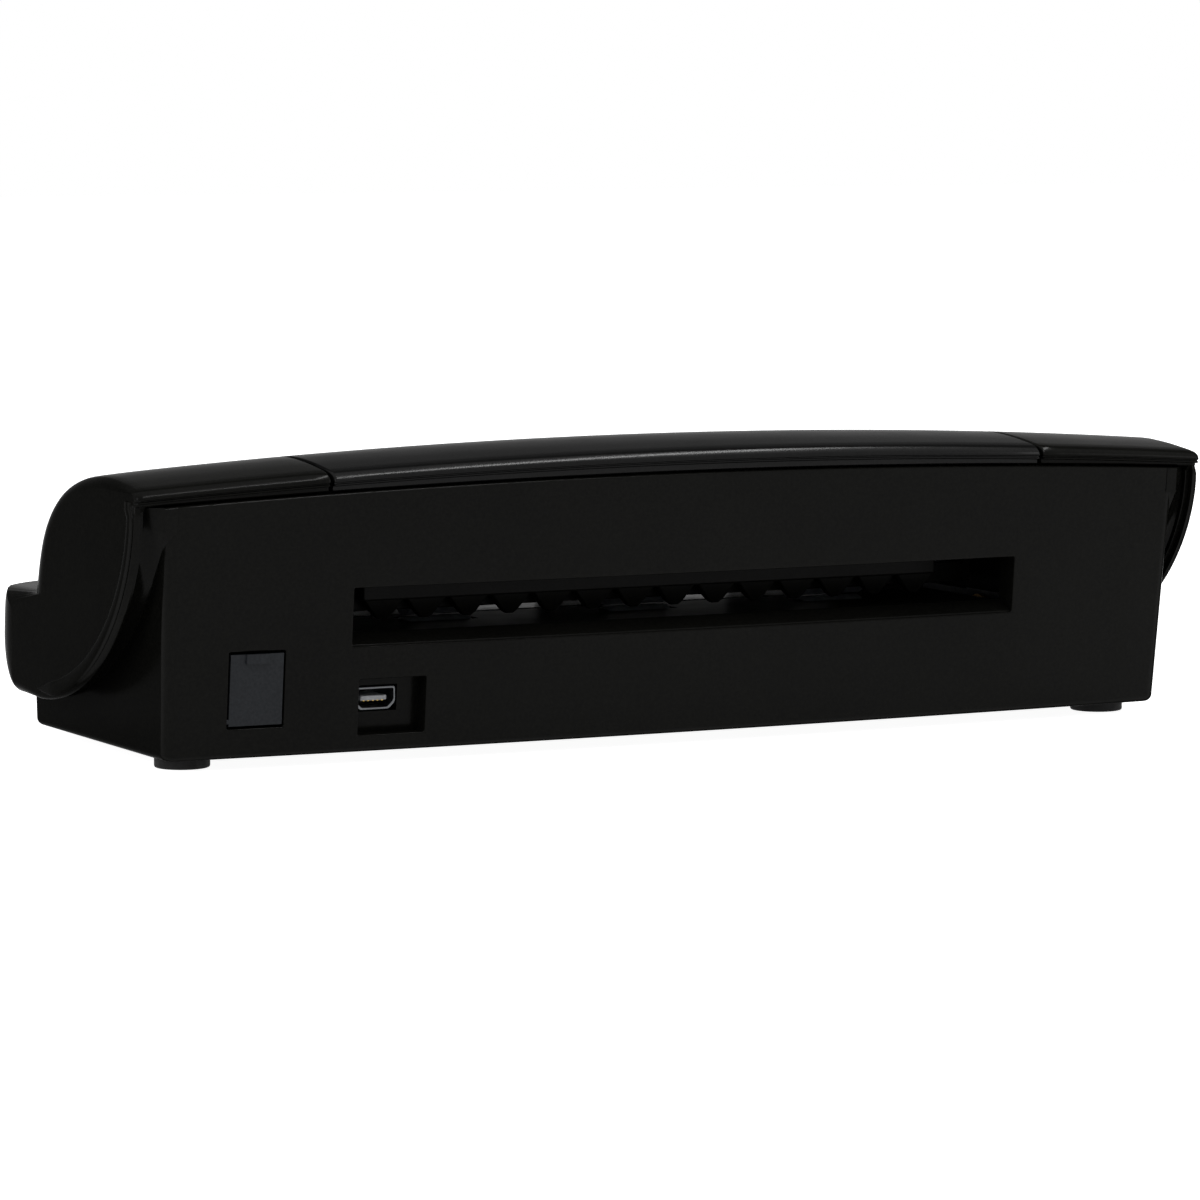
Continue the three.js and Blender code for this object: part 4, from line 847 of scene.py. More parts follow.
def end_cover(side, name):
    reach = COVER_FACE - LID_FACE
    ends = end_stations(reach)
    made = loft_x(name, [side * (COVER_FACE - e) for e in ends], end_cover_section)
    made = join(made, cheek_ridge(side))
    inner_face = reach - INNER_WALL
    inside = [COVER_WALL, *[e for e in ends if COVER_WALL < e < inner_face], inner_face]
    hollow = loft_x("hollow", [side * (COVER_FACE - e) for e in inside], end_cover_hollow)
    far = BASE_DEPTH
    front = -HINGE_BACK - HINGE_EAR
    sill = PATH_HEIGHT + SHELL_GAP
    foot = foot_at(LID_HALF)
    rear = [rear_at(LID_HALF, z) - BASE_WALL - 2 * SHELL_GAP for z in (PATH_HEIGHT, foot)]
    through = (side * LID_HALF, side * (LID_FACE + INNER_WALL + GROOVE))
    doorway = prism_x("doorway", [
        (front, -far), (front, sill), (rear[0], sill), (rear[1], foot), (far, foot), (far, -far),
    ], through)
    pin_hole = rod("hole", HINGE_PIN + SHELL_GAP, *through, (-HINGE_BACK, HINGE_HEIGHT))
    made = cut(made, hollow, doorway, pin_hole)
    if side < 0:
        return made
    mouth = BUTTON_RADIUS + SHELL_GAP
    wide = mouth + 2 * EDGE_ROUND
    button_hole = on_button("button_hole", [
        (mouth, -3 * COVER_WALL), (mouth, -2 * EDGE_ROUND),
        (mouth + EDGE_ROUND / 3, -EDGE_ROUND / 2), (wide, EDGE_ROUND), (wide, COVER_WALL),
    ])
    mouth = LENS_RADIUS + SMALL_EDGE
    lens_hole = on_button("lens_hole", [(mouth, -3 * COVER_WALL), (mouth, COVER_WALL)], LENS_OFFSET)
    made = cut(made, button_hole, lens_hole)
    post = [(POST_RADIUS, -POST_LENGTH), (POST_RADIUS, -COVER_WALL / 2)]
    return join(made, *[on_button("post", post, beside) for beside in (-POST_BESIDE, POST_BESIDE)])


def seam_stations(half, count):
    """Places across a piece, close together at its two rounded ends."""
    edge = np.array(EDGE_STEPS) * FINE
    middle = np.linspace(-half + FINE, half - FINE, count)[1:-1]
    return [*(-half + edge), *middle, *(half - edge[::-1])]


def lid_section(x):
    hump = hump_points(HUMP, x, COVER_HALF)
    hump = hump[hump[:, 1] > HUMP_FOOT + LID_MOUTH + FINE]
    start = np.array([[hump[0][0] + SMALL_EDGE, HUMP_FOOT + LID_MOUTH]])
    rest = np.array([
        [LID_SKIRT_REAR, foot_at(x)],
        [LID_SKIRT_REAR, LID_SKIRT],
        [-HINGE_BACK + HINGE_EAR, LID_SKIRT],
        [-HINGE_BACK, HUMP_FOOT + LID_MOUTH],
    ])
    outline = np.vstack([start, hump, band_points(x, COVER_HALF), rest])
    return offset(outline, drawn_in(FINE, LID_HALF - abs(x)), True)


def lid_hollow(x):
    inner = inner_hump(x, COVER_HALF)
    return np.vstack([[[inner[0][0], 0]], inner, [[inner[-1][0], 0]]])


def lid():
    made = loft_x("lid_shell", seam_stations(LID_HALF, 25), lid_section)
    inner_half = LID_HALF - LID_SIDE_WALL
    made = cut(made, loft_x("hollow", np.linspace(-inner_half, inner_half, 25), lid_hollow))
    start = LID_HALF - 1.5 * LID_SIDE_WALL
    ears = [
        rod("ear", HINGE_EAR, side * start, side * (LID_HALF - THIN), (-HINGE_BACK, HINGE_HEIGHT))
        for side in (-1, 1)
    ]
    return join(made, *ears)


def plan_outline(z, inset):
    """The lower housing from above, at a height: a bowed rear and rounded corners."""
    half = side_at(z) - inset
    front = -BASE_DEPTH / 2 + inset
    rear_turn = max(REAR_CORNER - inset, REAR_CORNER / 4)
    front_turn = max(FRONT_CORNER - inset, FRONT_CORNER / 4)
    flat = half - rear_turn

    def arc(cx, cy, radius, start):
        angles = start + np.linspace(0, math.pi / 2, 9)
        return [(cx + radius * math.cos(a), cy + radius * math.sin(a)) for a in angles]

    rear = [(x, rear_at(x, z) - inset) for x in np.linspace(flat, -flat, 41)[1:-1]]
    corner = rear_at(half, z) - inset - rear_turn
    return [
        *arc(-half + front_turn, front + front_turn, front_turn, math.pi),
        *arc(half - front_turn, front + front_turn, front_turn, -math.pi / 2),
        *arc(flat, corner, rear_turn, 0),
        *rear,
        *arc(-flat, corner, rear_turn, math.pi / 2),
    ]


def loft_z(name, levels):
    return loft(name, [[(x, y, z) for x, y in plan_outline(z, inset)] for z, inset in levels])


def along_rear(name, profile, xs):
    """A bar along the bowed rear panel; the profile holds depths and heights."""
    count = max(2, 2 * round(24 * (xs[1] - xs[0]) / BASE_WIDTH))
    places = np.linspace(*xs, count)
    return loft_x(name, places, lambda x: [(rear_at(x, z) - depth, z) for depth, z in profile])


def rounded_mouth(name, xs, zs, depth):
    """A cutter for an opening in the rear panel whose rim is rounded."""
    turn = EDGE_ROUND
    across = max(3, round((xs[1] - xs[0]) / MOUTH_SPACING))
    downs = [turn * share for share in (1, 0.7, 0.45, 0.25, 0.1, 0)]
    levels = [(down, drawn_in(turn, down)) for down in downs]
    rings = []
    for down, grow in [(depth, 0), *levels, (-2 * REAR_BOW, turn)]:
        left, right = xs[1] + grow - turn, xs[0] - grow + turn
        bottom, top = zs[0] - grow + turn, zs[1] + grow - turn
        corners = [(left, top), (right, top), (right, bottom), (left, bottom)]
        outline = []
        for index, (cx, cz) in enumerate(corners):
            for angle in np.radians(90 * index + np.array([0, 30, 60, 90])):
                outline.append((cx + turn * math.cos(angle), cz + turn * math.sin(angle)))
            if index % 2 == 0:
                end = corners[index + 1][0]
                z = outline[-1][1]
                outline += [(x, z) for x in np.linspace(cx, end, across + 1)[1:-1]]
        rings.append([(x, rear_at(x, z) - down, z) for x, z in outline])
    return loft(name, rings)


def surround(name, xs, depth, low, high):
    """Walls behind the rear panel, round an opening in it."""
    profile = framed(BASE_WALL / 2, depth, low, high + SLOT_WALL)
    return along_rear(name, profile, grown(xs, SLOT_WALL))


def panel_hole(node, margin):
    """A cutter through the rear panel, round a solid."""
    spans = spans_of(node)
    profile = framed(0, 2 * SLOT_DEPTH, *grown(spans[2], margin))
    return along_rear("hole", profile, grown(spans[0], margin))


def flare_start(share):
    centre = FLARE_FOOT + FLARE_RADIUS
    angle = share * math.acos((centre - FLARE_TOP) / FLARE_RADIUS)
    return np.column_stack([
        -FLARE_BACK + FLARE_RADIUS * np.sin(angle), centre - FLARE_RADIUS * np.cos(angle)
    ])


def flare_section(out):
    """The flare's outline, at its share of the way out from the side wall."""
    share = np.linspace(0, 1, 40)
    start = flare_start(share)
    end = rim(FLARE_INSET)[::-1]
    curve = start + (end - start) * out
    top = panel_top(BASE_HALF)
    rear = curve[-1][0] + PANEL_TOP_OFFSET * (top - curve[-1][1]) / PANEL_HEIGHT * (1 - out)
    curve = np.vstack([curve, [[rear, top]]])
    inner = curve[1:][::-1] + np.array([-FLARE_WALL, 0.4 * FLARE_WALL])
    inner[0] = [rear - FLARE_WALL, top]
    return np.vstack([curve, inner])


def flare(side):
    start = side_at(RIM_HEIGHT)
    end = COVER_HALF - COVER_WALL - PARTING_GAP
    places = [start - BASE_WALL, *np.linspace(start - SIDE_TOP_OFFSET / 2, end, 7)]
    rings = []
    for x in places:
        section = flare_section(max(0.0, (x - start) / (end - start)))
        rings.append([(side * x, y, z) for y, z in section])
    return loft("flare", rings)


def interior_cut():
    """The room above the flares' walls, and the open front over the low front wall."""
    centre = FLARE_FOOT + FLARE_RADIUS
    far = BASE_DEPTH

    def rear_inner(z):
        return rear_at(BASE_HALF, z) - BASE_WALL

    arc = flare_start(np.linspace(0, 1, 40)) + np.array([-0.4 * FLARE_WALL, 0.16 * FLARE_WALL])
    arc = [(y, z) for y, z in arc if y < rear_inner(z)]
    meet = arc[-1][1] + FLARE_WALL
    return prism_x("interior", [
        (-far, FRONT_WALL_HEIGHT), (-FLARE_BACK - FLARE_WALL / 2, FRONT_WALL_HEIGHT), *arc,
        (rear_inner(meet), meet), (rear_inner(centre), centre), (-far, centre),
    ], (-BASE_WIDTH, BASE_WIDTH))


def above_panel():
    """Everything over the panel's arched top edge, with a rounded arris."""
    def section(x):
        top = panel_top(x)
        rear = rear_at(x, top)
        arris = top - ARRIS_ROUND
        turn = [(rear - ARRIS_ROUND * (1 - s), top - drawn_in(ARRIS_ROUND, ARRIS_ROUND * (1 - s)))
                for s in (0, 0.2, 0.5, 0.75, 0.92)]
        return [(0, top), *turn, (rear + ARRIS_ROUND / 9, arris), (BASE_DEPTH, arris),
                (BASE_DEPTH, 2 * PANEL_HEIGHT), (0, 2 * PANEL_HEIGHT)]
    return loft_x("above", np.linspace(-COVER_HALF, COVER_HALF, 61), section)


def exit_ledge():
    """The sloping ledge under the exit slot."""
    half = SLOT_WIDTH / 2 + SLOT_WALL / 2
    inner = PATH_HEIGHT + SHELL_GAP / 2
    nose = (inner - SLOT_BOTTOM) / 4
    foot = SLOT_BOTTOM - SLOT_WALL / 2
    turn = [(nose * (2 - math.cos(a)), SLOT_BOTTOM + nose * math.sin(a) * 0.8)
            for a in np.radians([10, 30, 50, 70, 90])]
    profile = [(nose, foot), *turn, (SLOT_DEPTH, inner), (SLOT_DEPTH, foot)]
    return along_rear("ledge", profile, (-half, half))


def base_housing():
    bottom = [(BOTTOM_ROUND * (1 - math.cos(a)), BOTTOM_ROUND * (1 - math.sin(a)))
              for a in np.radians([0, 20, 40, 60, 75, 90])]
    made = loft_z("base_shell", [*bottom, (1.1 * PANEL_HEIGHT, 0)])
    made = cut(made, loft_z("room", [(BASE_FLOOR, BASE_WALL), (1.2 * PANEL_HEIGHT, BASE_WALL)]))
    slot = (-SLOT_WIDTH / 2, SLOT_WIDTH / 2)
    port = (PORT_RIGHT, PORT_RIGHT + PORT_WIDTH)
    door = (DOOR_RIGHT, DOOR_RIGHT + DOOR_WIDTH)
    port_top = PORT_BOTTOM + PORT_HEIGHT
    door_top = DOOR_BOTTOM + DOOR_HEIGHT
    made = join(
        made,
        surround("tunnel", slot, SLOT_DEPTH, SLOT_BOTTOM - SLOT_WALL, SLOT_TOP),
        surround("port_box", port, PORT_DEPTH + SLOT_WALL, BASE_FLOOR / 2, port_top),
        surround("door_box", door, DOOR_DEPTH + SLOT_WALL, DOOR_BOTTOM - SLOT_WALL, door_top),
    )
    made = cut(made, interior_cut())
    made = join(made, flare(1), flare(-1))
    made = cut(
        made,
        above_panel(),
        rounded_mouth("slot", slot, (SLOT_BOTTOM, SLOT_TOP), 2 * SLOT_DEPTH),
        rounded_mouth("port", port, (PORT_BOTTOM, port_top), PORT_DEPTH),
        rounded_mouth("recess", door, (DOOR_BOTTOM, door_top), DOOR_DEPTH),
        panel_hole("data_socket", SHELL_GAP),
        panel_hole("power_jack", -SLOT_WALL),
    )
    return join(made, exit_ledge())


def front_tray():
    """The middle of the feed lip, hollow, with the paper guide's track."""
    half = LID_HALF + GROOVE / 2 - SHELL_GAP / 2
    low_wall = PATH_HEIGHT - COVER_WALL
    scale = (PATH_HEIGHT - LIP_BOTTOM) / (LIP_TOP - LIP_BOTTOM)
    corner = [[-LIP_INNER, LIP_BOTTOM]]
    rear = [[-TRAY_REAR, PATH_HEIGHT]]

    def lip_at(x):
        points = lip_points(LIP[LIP[:, 0] > LIP_START_SHARE], x, COVER_HALF)
        points[:, 1] = LIP_BOTTOM + (points[:, 1] - LIP_BOTTOM) * scale
        return points

    def section(x):
        wall = [[-TRAY_REAR, low_wall], [-LIP_INNER, low_wall]]
        outline = np.vstack([corner, lip_at(x), rear, wall])
        return offset(outline, drawn_in(FINE, half - abs(x)), True)

    def hollow(x):
        inner = offset(np.vstack([corner, lip_at(x), rear]), COVER_WALL)[1:-1]
        return np.vstack([
            [[BASE_DEPTH, LIP_BOTTOM + COVER_WALL]], inner, [[BASE_DEPTH, low_wall]],
        ])

    made = loft_x("tray_shell", seam_stations(half, 15), section)
    inner_half = half - COVER_WALL
    track = block("track", (TRACK_RIGHT, TRACK_LEFT), (-TRACK_FRONT, TRACK_WIDTH - TRACK_FRONT),
                  (low_wall - COVER_WALL, LIP_TOP))
    return cut(made, loft_x("hollow", np.linspace(-inner_half, inner_half, 15), hollow), track)


# Small parts

def round_bar(node, bore=0.0):
    """A turned piece over a solid's box, along X, with rounded edges."""
    low, high = box_of(node)
    centre = (low + high) / 2
    radius = (high.z - low.z) / 2
    half = (high.x - low.x) / 2
    outline = [(bore, -half), (radius, -half), (radius, half), (bore, half)]
    if bore:
        return turned(node, rounded(outline, EDGE_ROUND, True), centre, (1, 0, 0), ROUND_SIDES, True)
    flat = radius - EDGE_ROUND
    profile = [(flat, -half), *rounded(outline, EDGE_ROUND)[1:-1], (flat, half)]
    return turned(node, profile, centre, (1, 0, 0), ROUND_SIDES)


def idler(name):
    """An axle with three soft rollers, whose edges are rounded."""
    low, high = box_of(name)
    centre = (low + high) / 2
    radius = (high.z - low.z) / 2
    reach = high.x
    profile = [(AXLE_RADIUS / 2, -reach), (AXLE_RADIUS, -reach + EDGE_ROUND)]
    for start, end in tyres("front"):
        corners = [(AXLE_RADIUS, start.x), (radius, start.x), (radius, end.x), (AXLE_RADIUS, end.x)]
        ends = [(AXLE_RADIUS, start.x - EDGE_ROUND), (AXLE_RADIUS, end.x + EDGE_ROUND)]
        profile += rounded([ends[0], *corners, ends[1]], EDGE_ROUND)
    profile += [(AXLE_RADIUS, reach - EDGE_ROUND), (AXLE_RADIUS / 2, reach)]
    return turned(name, profile, centre, (1, 0, 0), ROUND_SIDES)


def rubber_foot(name):
    """A rubber disc with a rounded edge and a shallow ring in its face."""
    low, high = box_of(name)
    radius = (high.x - low.x) / 2
    ring = low.z + FINE
    profile = rounded([
        (THIN, 0), (radius, 0), (radius, low.z), (0.72 * radius, low.z), (0.66 * radius, ring),
        (0.55 * radius, ring), (0.49 * radius, low.z), (THIN, low.z),
    ], FINE)
    middle = (low + high) / 2
    return turned(name, profile, (middle.x, middle.y, 0), (0, 0, 1), ROUND_SIDES)


def screw(name):
    """A housing screw with a rounded head, a cross recess and a pointed shank."""
    low, high = box_of(name)
    x, y = (low.x + high.x) / 2, (low.y + high.y) / 2
    head = (high.x - low.x) / 2
    length = high.z - low.z
    profile = rounded([
        (THIN, 0), (head, 0), (head, SCREW_HEAD), (SCREW_SHANK, SCREW_HEAD),
        (SCREW_SHANK, length - SCREW_SHANK), (THIN, length),
    ], EDGE_ROUND)
    made = turned(name, profile, (x, y, low.z), (0, 0, 1), ROD_SIDES)
    half = CROSS_WIDTH / 2
    reach = 0.62 * head
    deep = (low.z - FINE, low.z + 0.7 * SCREW_HEAD)
    return cut(
        made,
        block("slot", around(x, reach), around(y, half), deep),
        block("slot", around(x, half), around(y, reach), deep),
    )


def motor():
    """A round can with a rolled rear edge, a seam and a bearing boss at both ends."""
    low, high = box_of("feed_motor")
    centre = (0, (low.y + high.y) / 2, (low.z + high.z) / 2)
    radius = (high.z - low.z) / 2
    face = box_of("motor_bracket")[0].x - SHELL_GAP
    rear = low.x + FINE
    seam = face - MOTOR_SEAM
    seam_end = face - 0.8 * MOTOR_SEAM
    profile = rounded([
        (FINE, low.x), (0.3 * radius, low.x), (0.34 * radius, rear), (0.88 * radius, rear),
        (radius, rear + 0.12 * radius), (radius, seam), (radius - FINE, seam),
        (radius - FINE, seam_end), (radius, seam_end), (radius, face), (MOTOR_BOSS, face),
        (MOTOR_BOSS, high.x), (0.35 * MOTOR_BOSS, high.x), (0.35 * MOTOR_BOSS, seam), (FINE, seam),
    ], HALF_FINE)
    return turned("motor_can", profile, centre, (1, 0, 0), CAN_SIDES)


def socket_outline(inset):
    low, high = box_of("data_socket")
    left, right = high.x - inset, low.x + inset
    bottom, top = low.z + inset, high.z - inset
    key = SOCKET_KEY
    return rounded([
        (right + key, bottom), (left - key, bottom), (left, bottom + key), (left, top),
        (right, top), (right, bottom + key),
    ], FINE, True)


def data_socket():
    """A sheet-metal shield whose mouth is rolled outwards, round a tongue with contacts."""
    low, high = box_of("data_socket")

    def along_y(inset, y):
        return [(x, y, z) for x, z in socket_outline(inset)]

    mouth = high.y
    sheet = SOCKET_SHEET
    outer = [(0, low.y), (0, mouth - HALF_FINE), (HAIR, mouth - HAIR), (SMALL_EDGE, mouth)]
    inner = [(sheet, low.y + FINE), (sheet, mouth - FINE), (0.6 * sheet, mouth + FINE)]
    shield = loft("socket_shield", [along_y(inset, y) for inset, y in outer])
    return cut(shield, loft("mouth", [along_y(inset, y) for inset, y in inner]))


def socket_tongue():
    low, high = box_of("data_socket")
    middle = (low + high) / 2
    half = 0.62 * (high.x - low.x) / 2
    ys = (low.y + TONGUE_BACK, high.y - FINE)
    zs = around(middle.z, TONGUE_HALF)
    return block("socket_tongue", around(middle.x, half), ys, zs, SMALL_EDGE)


def socket_contacts():
    low, high = box_of("data_socket")
    middle = (low + high) / 2
    pitch = 1.1 * (high.x - low.x) / 2 / CONTACT_COUNT
    ys = (low.y + CONTACT_BACK, high.y - CONTACT_FRONT)
    zs = (middle.z - TONGUE_HALF - SMALL_EDGE, middle.z)
    bars = []
    for i in range(CONTACT_COUNT):
        x = middle.x + (i - (CONTACT_COUNT - 1) / 2) * pitch
        bars.append(block("contact", around(x, CONTACT_WIDTH / 2), ys, zs, TINY_EDGE))
    return join(bars[0], *bars[1:])


def tooth_row():
    """The row of teeth in the exit slot: wide at the top and touching, blunt at the tip."""
    rear = box_of("upper_guide")[1].y
    half = TOOTH_COUNT * TOOTH_PITCH / 2
    beam = block("teeth", (-half, half), (GUIDE_REAR - GUIDE_WALL / 2, rear),
                 (TOOTH_TOP - FINE, TOOTH_TOP + TOOTH_BAR), FINE)
    row = []
    for i in range(TOOTH_COUNT):
        x = (i - (TOOTH_COUNT - 1) / 2) * TOOTH_PITCH
        rings = []
        for down in (0, 0.5, 0.86, 1):
            wide = TOOTH_PITCH * (0.49 - 0.37 * down) - (EDGE_ROUND if down == 1 else 0)
            near = rear - TOOTH_DEPTH * (0.04 + 0.2 * down)
            far = rear - TOOTH_DEPTH * (0.92 - 0.3 * down)
            left, right = x - wide, x + wide
            outline = [(left, far), (right, far), (right, near), (left, near)]
            z = TOOTH_TOP - TOOTH_HEIGHT * down
            rings.append([(cx, cy, z) for cx, cy in rounded(outline, EDGE_ROUND, True)])
        row.append(loft("tooth", rings))
    return join(beam, *row)


def window(xs, ys, zs, gap=SHELL_GAP):
    """A cutter that leaves a gap on the four sides of what it lets through."""
    return block("window", grown(xs, gap), grown(ys, gap), zs)


def upper_guide():
    """A plate with windows for the idlers and the sensor, two side walls and the toothed bar."""
    half = GUIDE_SIDE - GUIDE_WALL / 2
    made = block("guide_plate", (-half, half), (GUIDE_FRONT, GUIDE_REAR),
                 (GUIDE_LOW, GUIDE_LOW + GUIDE_WALL), EDGE_ROUND)
    outline = rounded([
        (GUIDE_FRONT, GUIDE_LOW), (GUIDE_FRONT, box_of("front_idler")[1].z),
        (GUIDE_FRONT / 4, GUIDE_RISE), (GUIDE_REAR, GUIDE_RISE), (GUIDE_REAR, GUIDE_LOW),
    ], HOUSING_EDGE, True)
    walls = [
        prism_x("wall", outline, around(side * GUIDE_SIDE, GUIDE_WALL / 2)) for side in (-1, 1)
    ]
    through = (0, GUIDE_LOW + 2 * GUIDE_WALL)
    cuts = []
    for end in ("front", "rear"):
        low, high = box_of(f"{end}_idler")
        centre = ((low.y + high.y) / 2, (low.z + high.z) / 2)
        cuts.append(rod("axle", AXLE_RADIUS + SHELL_GAP, low.x - FINE, high.x + FINE, centre))
        for start, stop in tyres("front"):
            cuts.append(window((start.x, stop.x), (low.y, high.y), through))
    cuts.append(window(*spans_of("upper_sensor")[:2], through))
    made = cut(join(made, *walls), *cuts)
    step = block("step", (-half, half), (GUIDE_REAR - GUIDE_WALL / 2, GUIDE_REAR),
                 (GUIDE_LOW + FINE, TOOTH_TOP + TOOTH_BAR / 2), EDGE_ROUND)
    return join(made, step, tooth_row())


def lower_guide():
    """The lower guide plate, with windows for the tyres and the sensor."""
    plate = spans_of("lower_guide")
    through = grown(plate[2], FINE)
    cuts = [window(*spans_of("lower_sensor")[:2], through)]
    for low, high in tyres("front") + tyres("rear"):
        half = 0.44 * (high.y - low.y)
        ys = around((low.y + high.y) / 2, half)
        cuts.append(block("window", grown((low.x, high.x), SHELL_GAP), ys, through, EDGE_ROUND))
    return cut(block("lower_plate", *plate, EDGE_ROUND), *cuts)


def sensor_housing(node, face):
    """A sensor's housing, with a recess round its pane and a ledge along both long sides."""
    low, high = box_of(node)
    made = block(node, *spans_of(node), HOUSING_EDGE)
    top, away = (high.z, low.z) if face > 0 else (low.z, high.z)
    near = sorted((top - face * FINE, top + face * FINE))
    recess = window(*spans_of(f"{node}_glass")[:2], near, FINE)
    far = sorted((away - face * FINE, away + face * 2 * SENSOR_LIP))
    xs = grown((low.x, high.x), FINE)
    steps = [block("step", xs, sorted((y, y - math.copysign(SENSOR_LIP, y))), far)
             for y in (low.y, high.y)]
    return cut(made, recess, *steps)


def chip(x, y, wide, deep):
    """A moulded chip, a little above the board."""
    zs = [box_of("main_board")[1].z + rise for rise in (HALF_FINE, CHIP_HEIGHT)]
    return block("chip", around(x, wide / 2), around(y, deep / 2), zs, HALF_FINE)


def legs(x, y, wide, deep):
    """A chip's legs, along both of its long sides."""
    top = box_of("main_board")[1].z
    pieces = []
    count = int(wide / LEG_PITCH)
    for i in range(count):
        at = x + (i - (count - 1) / 2) * LEG_PITCH
        for side in (-1, 1):
            ys = sorted((y + side * deep * 0.4, y + side * (deep / 2 + LEG_REACH)))
            zs = (top - THIN, top + FINE)
            pieces.append(block("leg", around(at, HALF_FINE), ys, zs, TINY_EDGE))
    return join(pieces[0], *pieces[1:])


def button_cap():
    """The scan button: a dished cap with a rounded rim, on a narrower stem."""
    radius, proud = BUTTON_RADIUS, BUTTON_PROUD
    shoulder = -COVER_WALL - SHELL_GAP - BUTTON_TRAVEL
    dish = [(radius * r, proud * (0.72 + 0.28 * r * r)) for r in (0.8, 0.6, 0.4, 0.2, 0.02)]
    return on_button("button_cap", [
        (THIN, -BUTTON_DEEP),
        *rounded([(0.8 * radius, -BUTTON_DEEP), (0.8 * radius, shoulder), (radius, shoulder),
                  (radius, 1.1 * proud), (0.8 * radius, 0.9 * proud)], BUTTON_EDGE),
        *dish[1:],
    ])


def soften(name, look, width=SMALL_EDGE):
    """Keeps a CAD node and rounds its edges a little."""
    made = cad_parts[name]
    painted(made, look)
    weld = made.modifiers.new("weld", "WELD")
    weld.merge_threshold = WELD_REACH
    flat = made.modifiers.new("flat", "DECIMATE")
    flat.decimate_type = "DISSOLVE"
    flat.angle_limit = FLAT_ANGLE
    if width:
        bevel = made.modifiers.new("edges", "BEVEL")
        bevel.width = width
        bevel.segments = 2
        bevel.angle_limit = BEVEL_ANGLE
        bevel.harden_normals = False
    else:
        made.data.set_sharp_from_angle(angle=KEPT_SHARP_ANGLE)
    evened(made)


# Stage, camera and lamps

def seen_directly(tree):
    """1 for rays of the camera, of reflections and of glass, 0 for scattered light."""
    path = tree.nodes.new("ShaderNodeLightPath")
    most = path.outputs["Is Camera Ray"]
    for name in ("Is Glossy Ray", "Is Transmission Ray"):
        most = maths(tree, "MAXIMUM", most, path.outputs[name])
    return most


def stage():
    """A plain white floor that keeps a soft shadow, and a white studio round it."""
    material, tree, place, shader = start_material("studio_white")
    tone = spread(tree, noise(tree, place, FLOOR_CLOUD), *FLOOR_TONES)
    colour = node_of(tree, "ShaderNodeCombineColor", Red=tone, Green=tone, Blue=tone)
    glow = ranged(tree, seen_directly(tree), 0, 1, 0, FLOOR_GLOW)
    set_inputs(tree, shader, Base_Color=colour.outputs[0], Roughness=0.9, Specular_IOR_Level=0)
    set_inputs(tree, shader, Emission_Strength=glow, Emission_Color=(1, 1, 1, 1))
    mesh = bpy.data.meshes.new("floor")
    reach = FLOOR_REACH
    corners = [(-reach, -reach, 0), (reach, -reach, 0), (reach, reach, 0), (-reach, reach, 0)]
    mesh.from_pydata(corners, [], [(0, 1, 2, 3)])
    mesh.materials.append(material)
    add("floor", mesh)
    world = bpy.data.worlds.new("studio")
    world.use_nodes = True
    tree = world.node_tree
    level = ranged(tree, seen_directly(tree), 0, 1, WORLD_LIGHT, 1)
    set_inputs(tree, tree.nodes["Background"], Strength=level, Color=(1, 1, 1, 1))
    scene.world = world


def camera():
    turn = (
        Matrix.Rotation(CAMERA_AZIMUTH, 4, "Z")
        @ Matrix.Rotation(math.pi / 2 - CAMERA_ELEVATION, 4, "X")
        @ Matrix.Rotation(CAMERA_ROLL, 4, "Z")
    )
    data = bpy.data.cameras.new("camera")
    data.lens = CAMERA_LENS
    data.sensor_width = FILM_WIDTH
    data.clip_start = CLIP_NEAR
    data.clip_end = CLIP_FAR
    scene.camera = add("camera", data)
    scene.camera.matrix_world = Matrix.Translation(CAMERA_PLACE) @ turn


def lamp(name, place, size, power):
    data = bpy.data.lights.new(name, "AREA")
    data.shape = "RECTANGLE"
    data.size, data.size_y = size
    data.energy = power
    made = add(name, data)
    made.location = place
    made.rotation_mode = "QUATERNION"
    made.rotation_quaternion = (Vector(LAMP_AIM) - Vector(place)).to_track_quat("-Z", "Y")


LOOKS = {"circuit_board": ("board", circuit()), "sensor_glass": ("glass", pane())}
for kind, table in ((moulded, PLASTICS), (rubber, RUBBERS), (metal, METALS)):
    for name, (slot, *values) in table.items():
        LOOKS[name] = (slot, kind(name, *values))
stage()
camera()
for name, values in LAMPS.items():
    lamp(name, *values)
scene.view_settings.view_transform = "Standard"

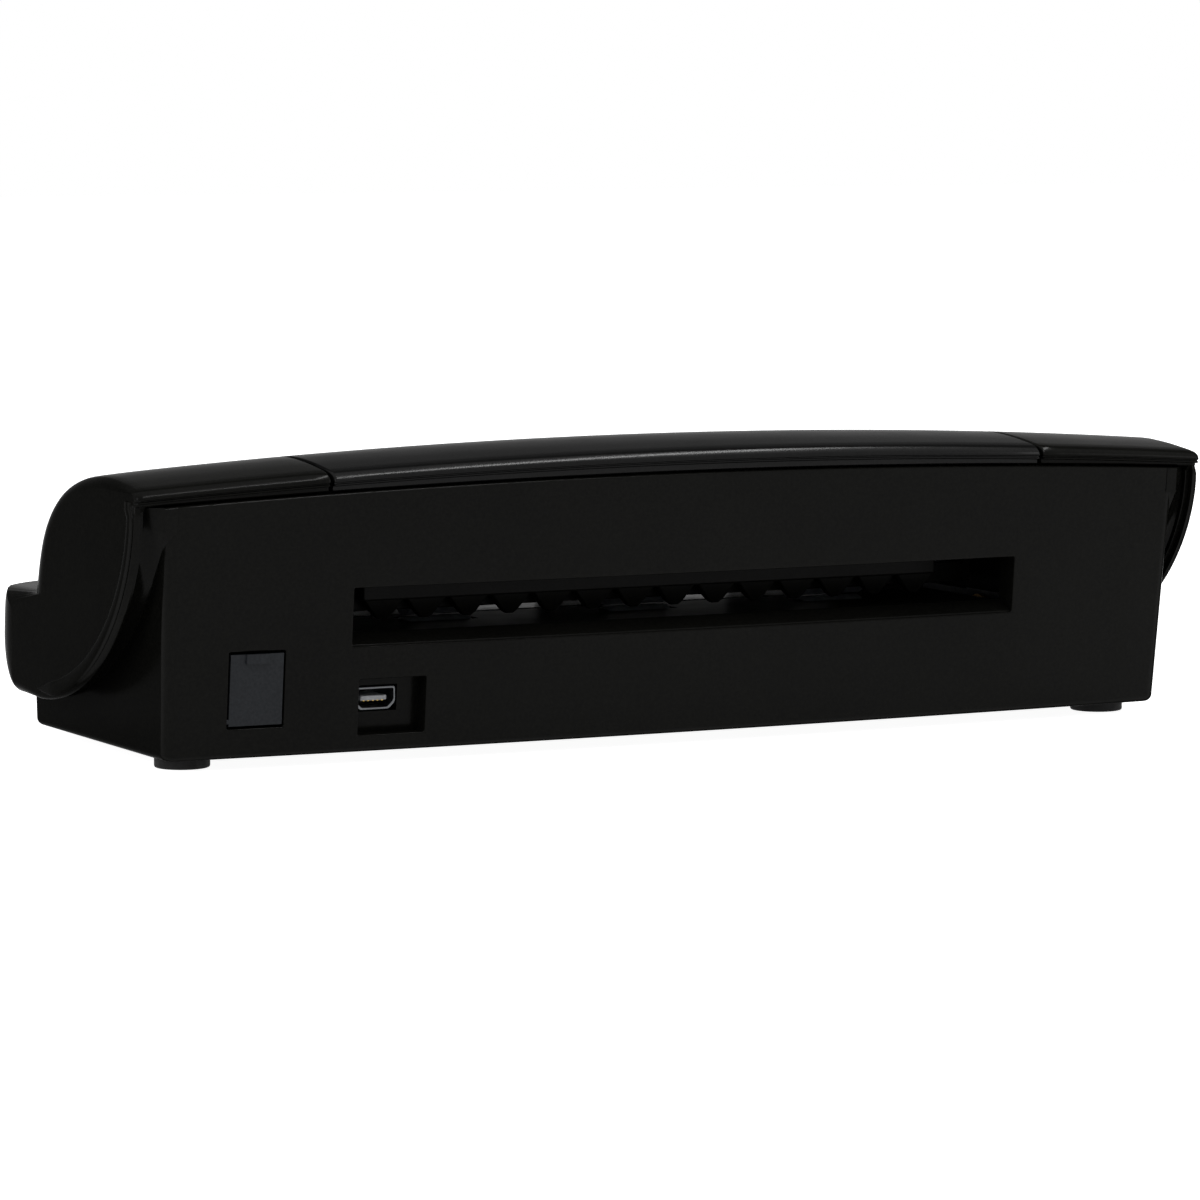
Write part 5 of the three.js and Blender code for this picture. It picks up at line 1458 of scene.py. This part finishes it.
dress(base_housing(), "black_shell", "base_housing")
dress(end_cover(1, "left_cheek"), "black_shell", "end_cover_left")
dress(end_cover(-1, "right_cheek"), "black_shell", "end_cover_right")
dress(lid(), "black_top", "lid", "lid")
dress(front_tray(), "black_shell", "front_tray")
dress(upper_guide(), "black_guide", "upper_guide", "lid")
dress(lower_guide(), "black_guide", "lower_guide")
dress(data_socket(), "socket_shield", "data_socket")
dress(socket_tongue(), "tongue_grey")
dress(socket_contacts(), "contact_gold")
dress(motor(), "pressed_steel", "feed_motor")
dress(button_cap(), "button_grey", "scan_button", "scan_button")
dress(sensor_housing("lower_sensor", 1), "connector_black", "lower_sensor")
dress(sensor_housing("upper_sensor", -1), "connector_black", "upper_sensor", "lid")
board_low, board_high = box_of("main_board")
dress(block("board", *spans_of("main_board"), HALF_FINE), "circuit_board", "main_board")
for along, back, wide, deep in CHIPS:
    x = board_low.x + along * (board_high.x - board_low.x)
    y = board_low.y + back * (board_high.y - board_low.y)
    dress(chip(x, y, wide, deep), "chip_black")
    dress(legs(x, y, wide, deep), "pressed_steel")
for end in ("front", "rear"):
    roller = f"{end}_roller"
    dress(round_bar(f"{roller}_shaft"), "turned_steel", f"{roller}_shaft", roller)
    for tyre in (f"{roller}_tyre_1", f"{roller}_tyre_2", f"{roller}_tyre_3"):
        dress(round_bar(tyre, SHAFT_RADIUS), "roller_rubber", tyre, roller)
    dress(idler(f"{end}_idler"), "roller_rubber", f"{end}_idler", f"{end}_idler")
    for side in ("left", "right"):
        dress(rubber_foot(f"{end}_foot_{side}"), "foot_rubber", f"{end}_foot_{side}")
        dress(screw(f"{end}_screw_{side}"), "turned_steel", f"{end}_screw_{side}")
        soften(f"{end}_bush_{side}", "sintered_bronze")
        soften(f"{end}_idler_spring_{side}", "pressed_steel", 0)

KEPT = {
    "black_guide": ["paper_guide"],
    "grey_door": ["port_door"],
    "connector_black": ["power_jack"],
    "gear_white": ["front_roller_gear", "rear_roller_gear", "between_gear", "reduction_gear"],
    "painted_steel": ["side_frame_left", "side_frame_right"],
    "lens_clear": ["status_lens"],
    "circuit_board": ["scan_switch"],
    "sensor_glass": ["lower_sensor_glass", "upper_sensor_glass"],
    "sintered_bronze": ["motor_pinion"],
    "pressed_steel": ["motor_bracket"],
    "turned_steel": ["between_gear_stud", "reduction_gear_stud", "lid_pin_left", "lid_pin_right"],
}
for look, names in KEPT.items():
    for name in names:
        soften(name, look)
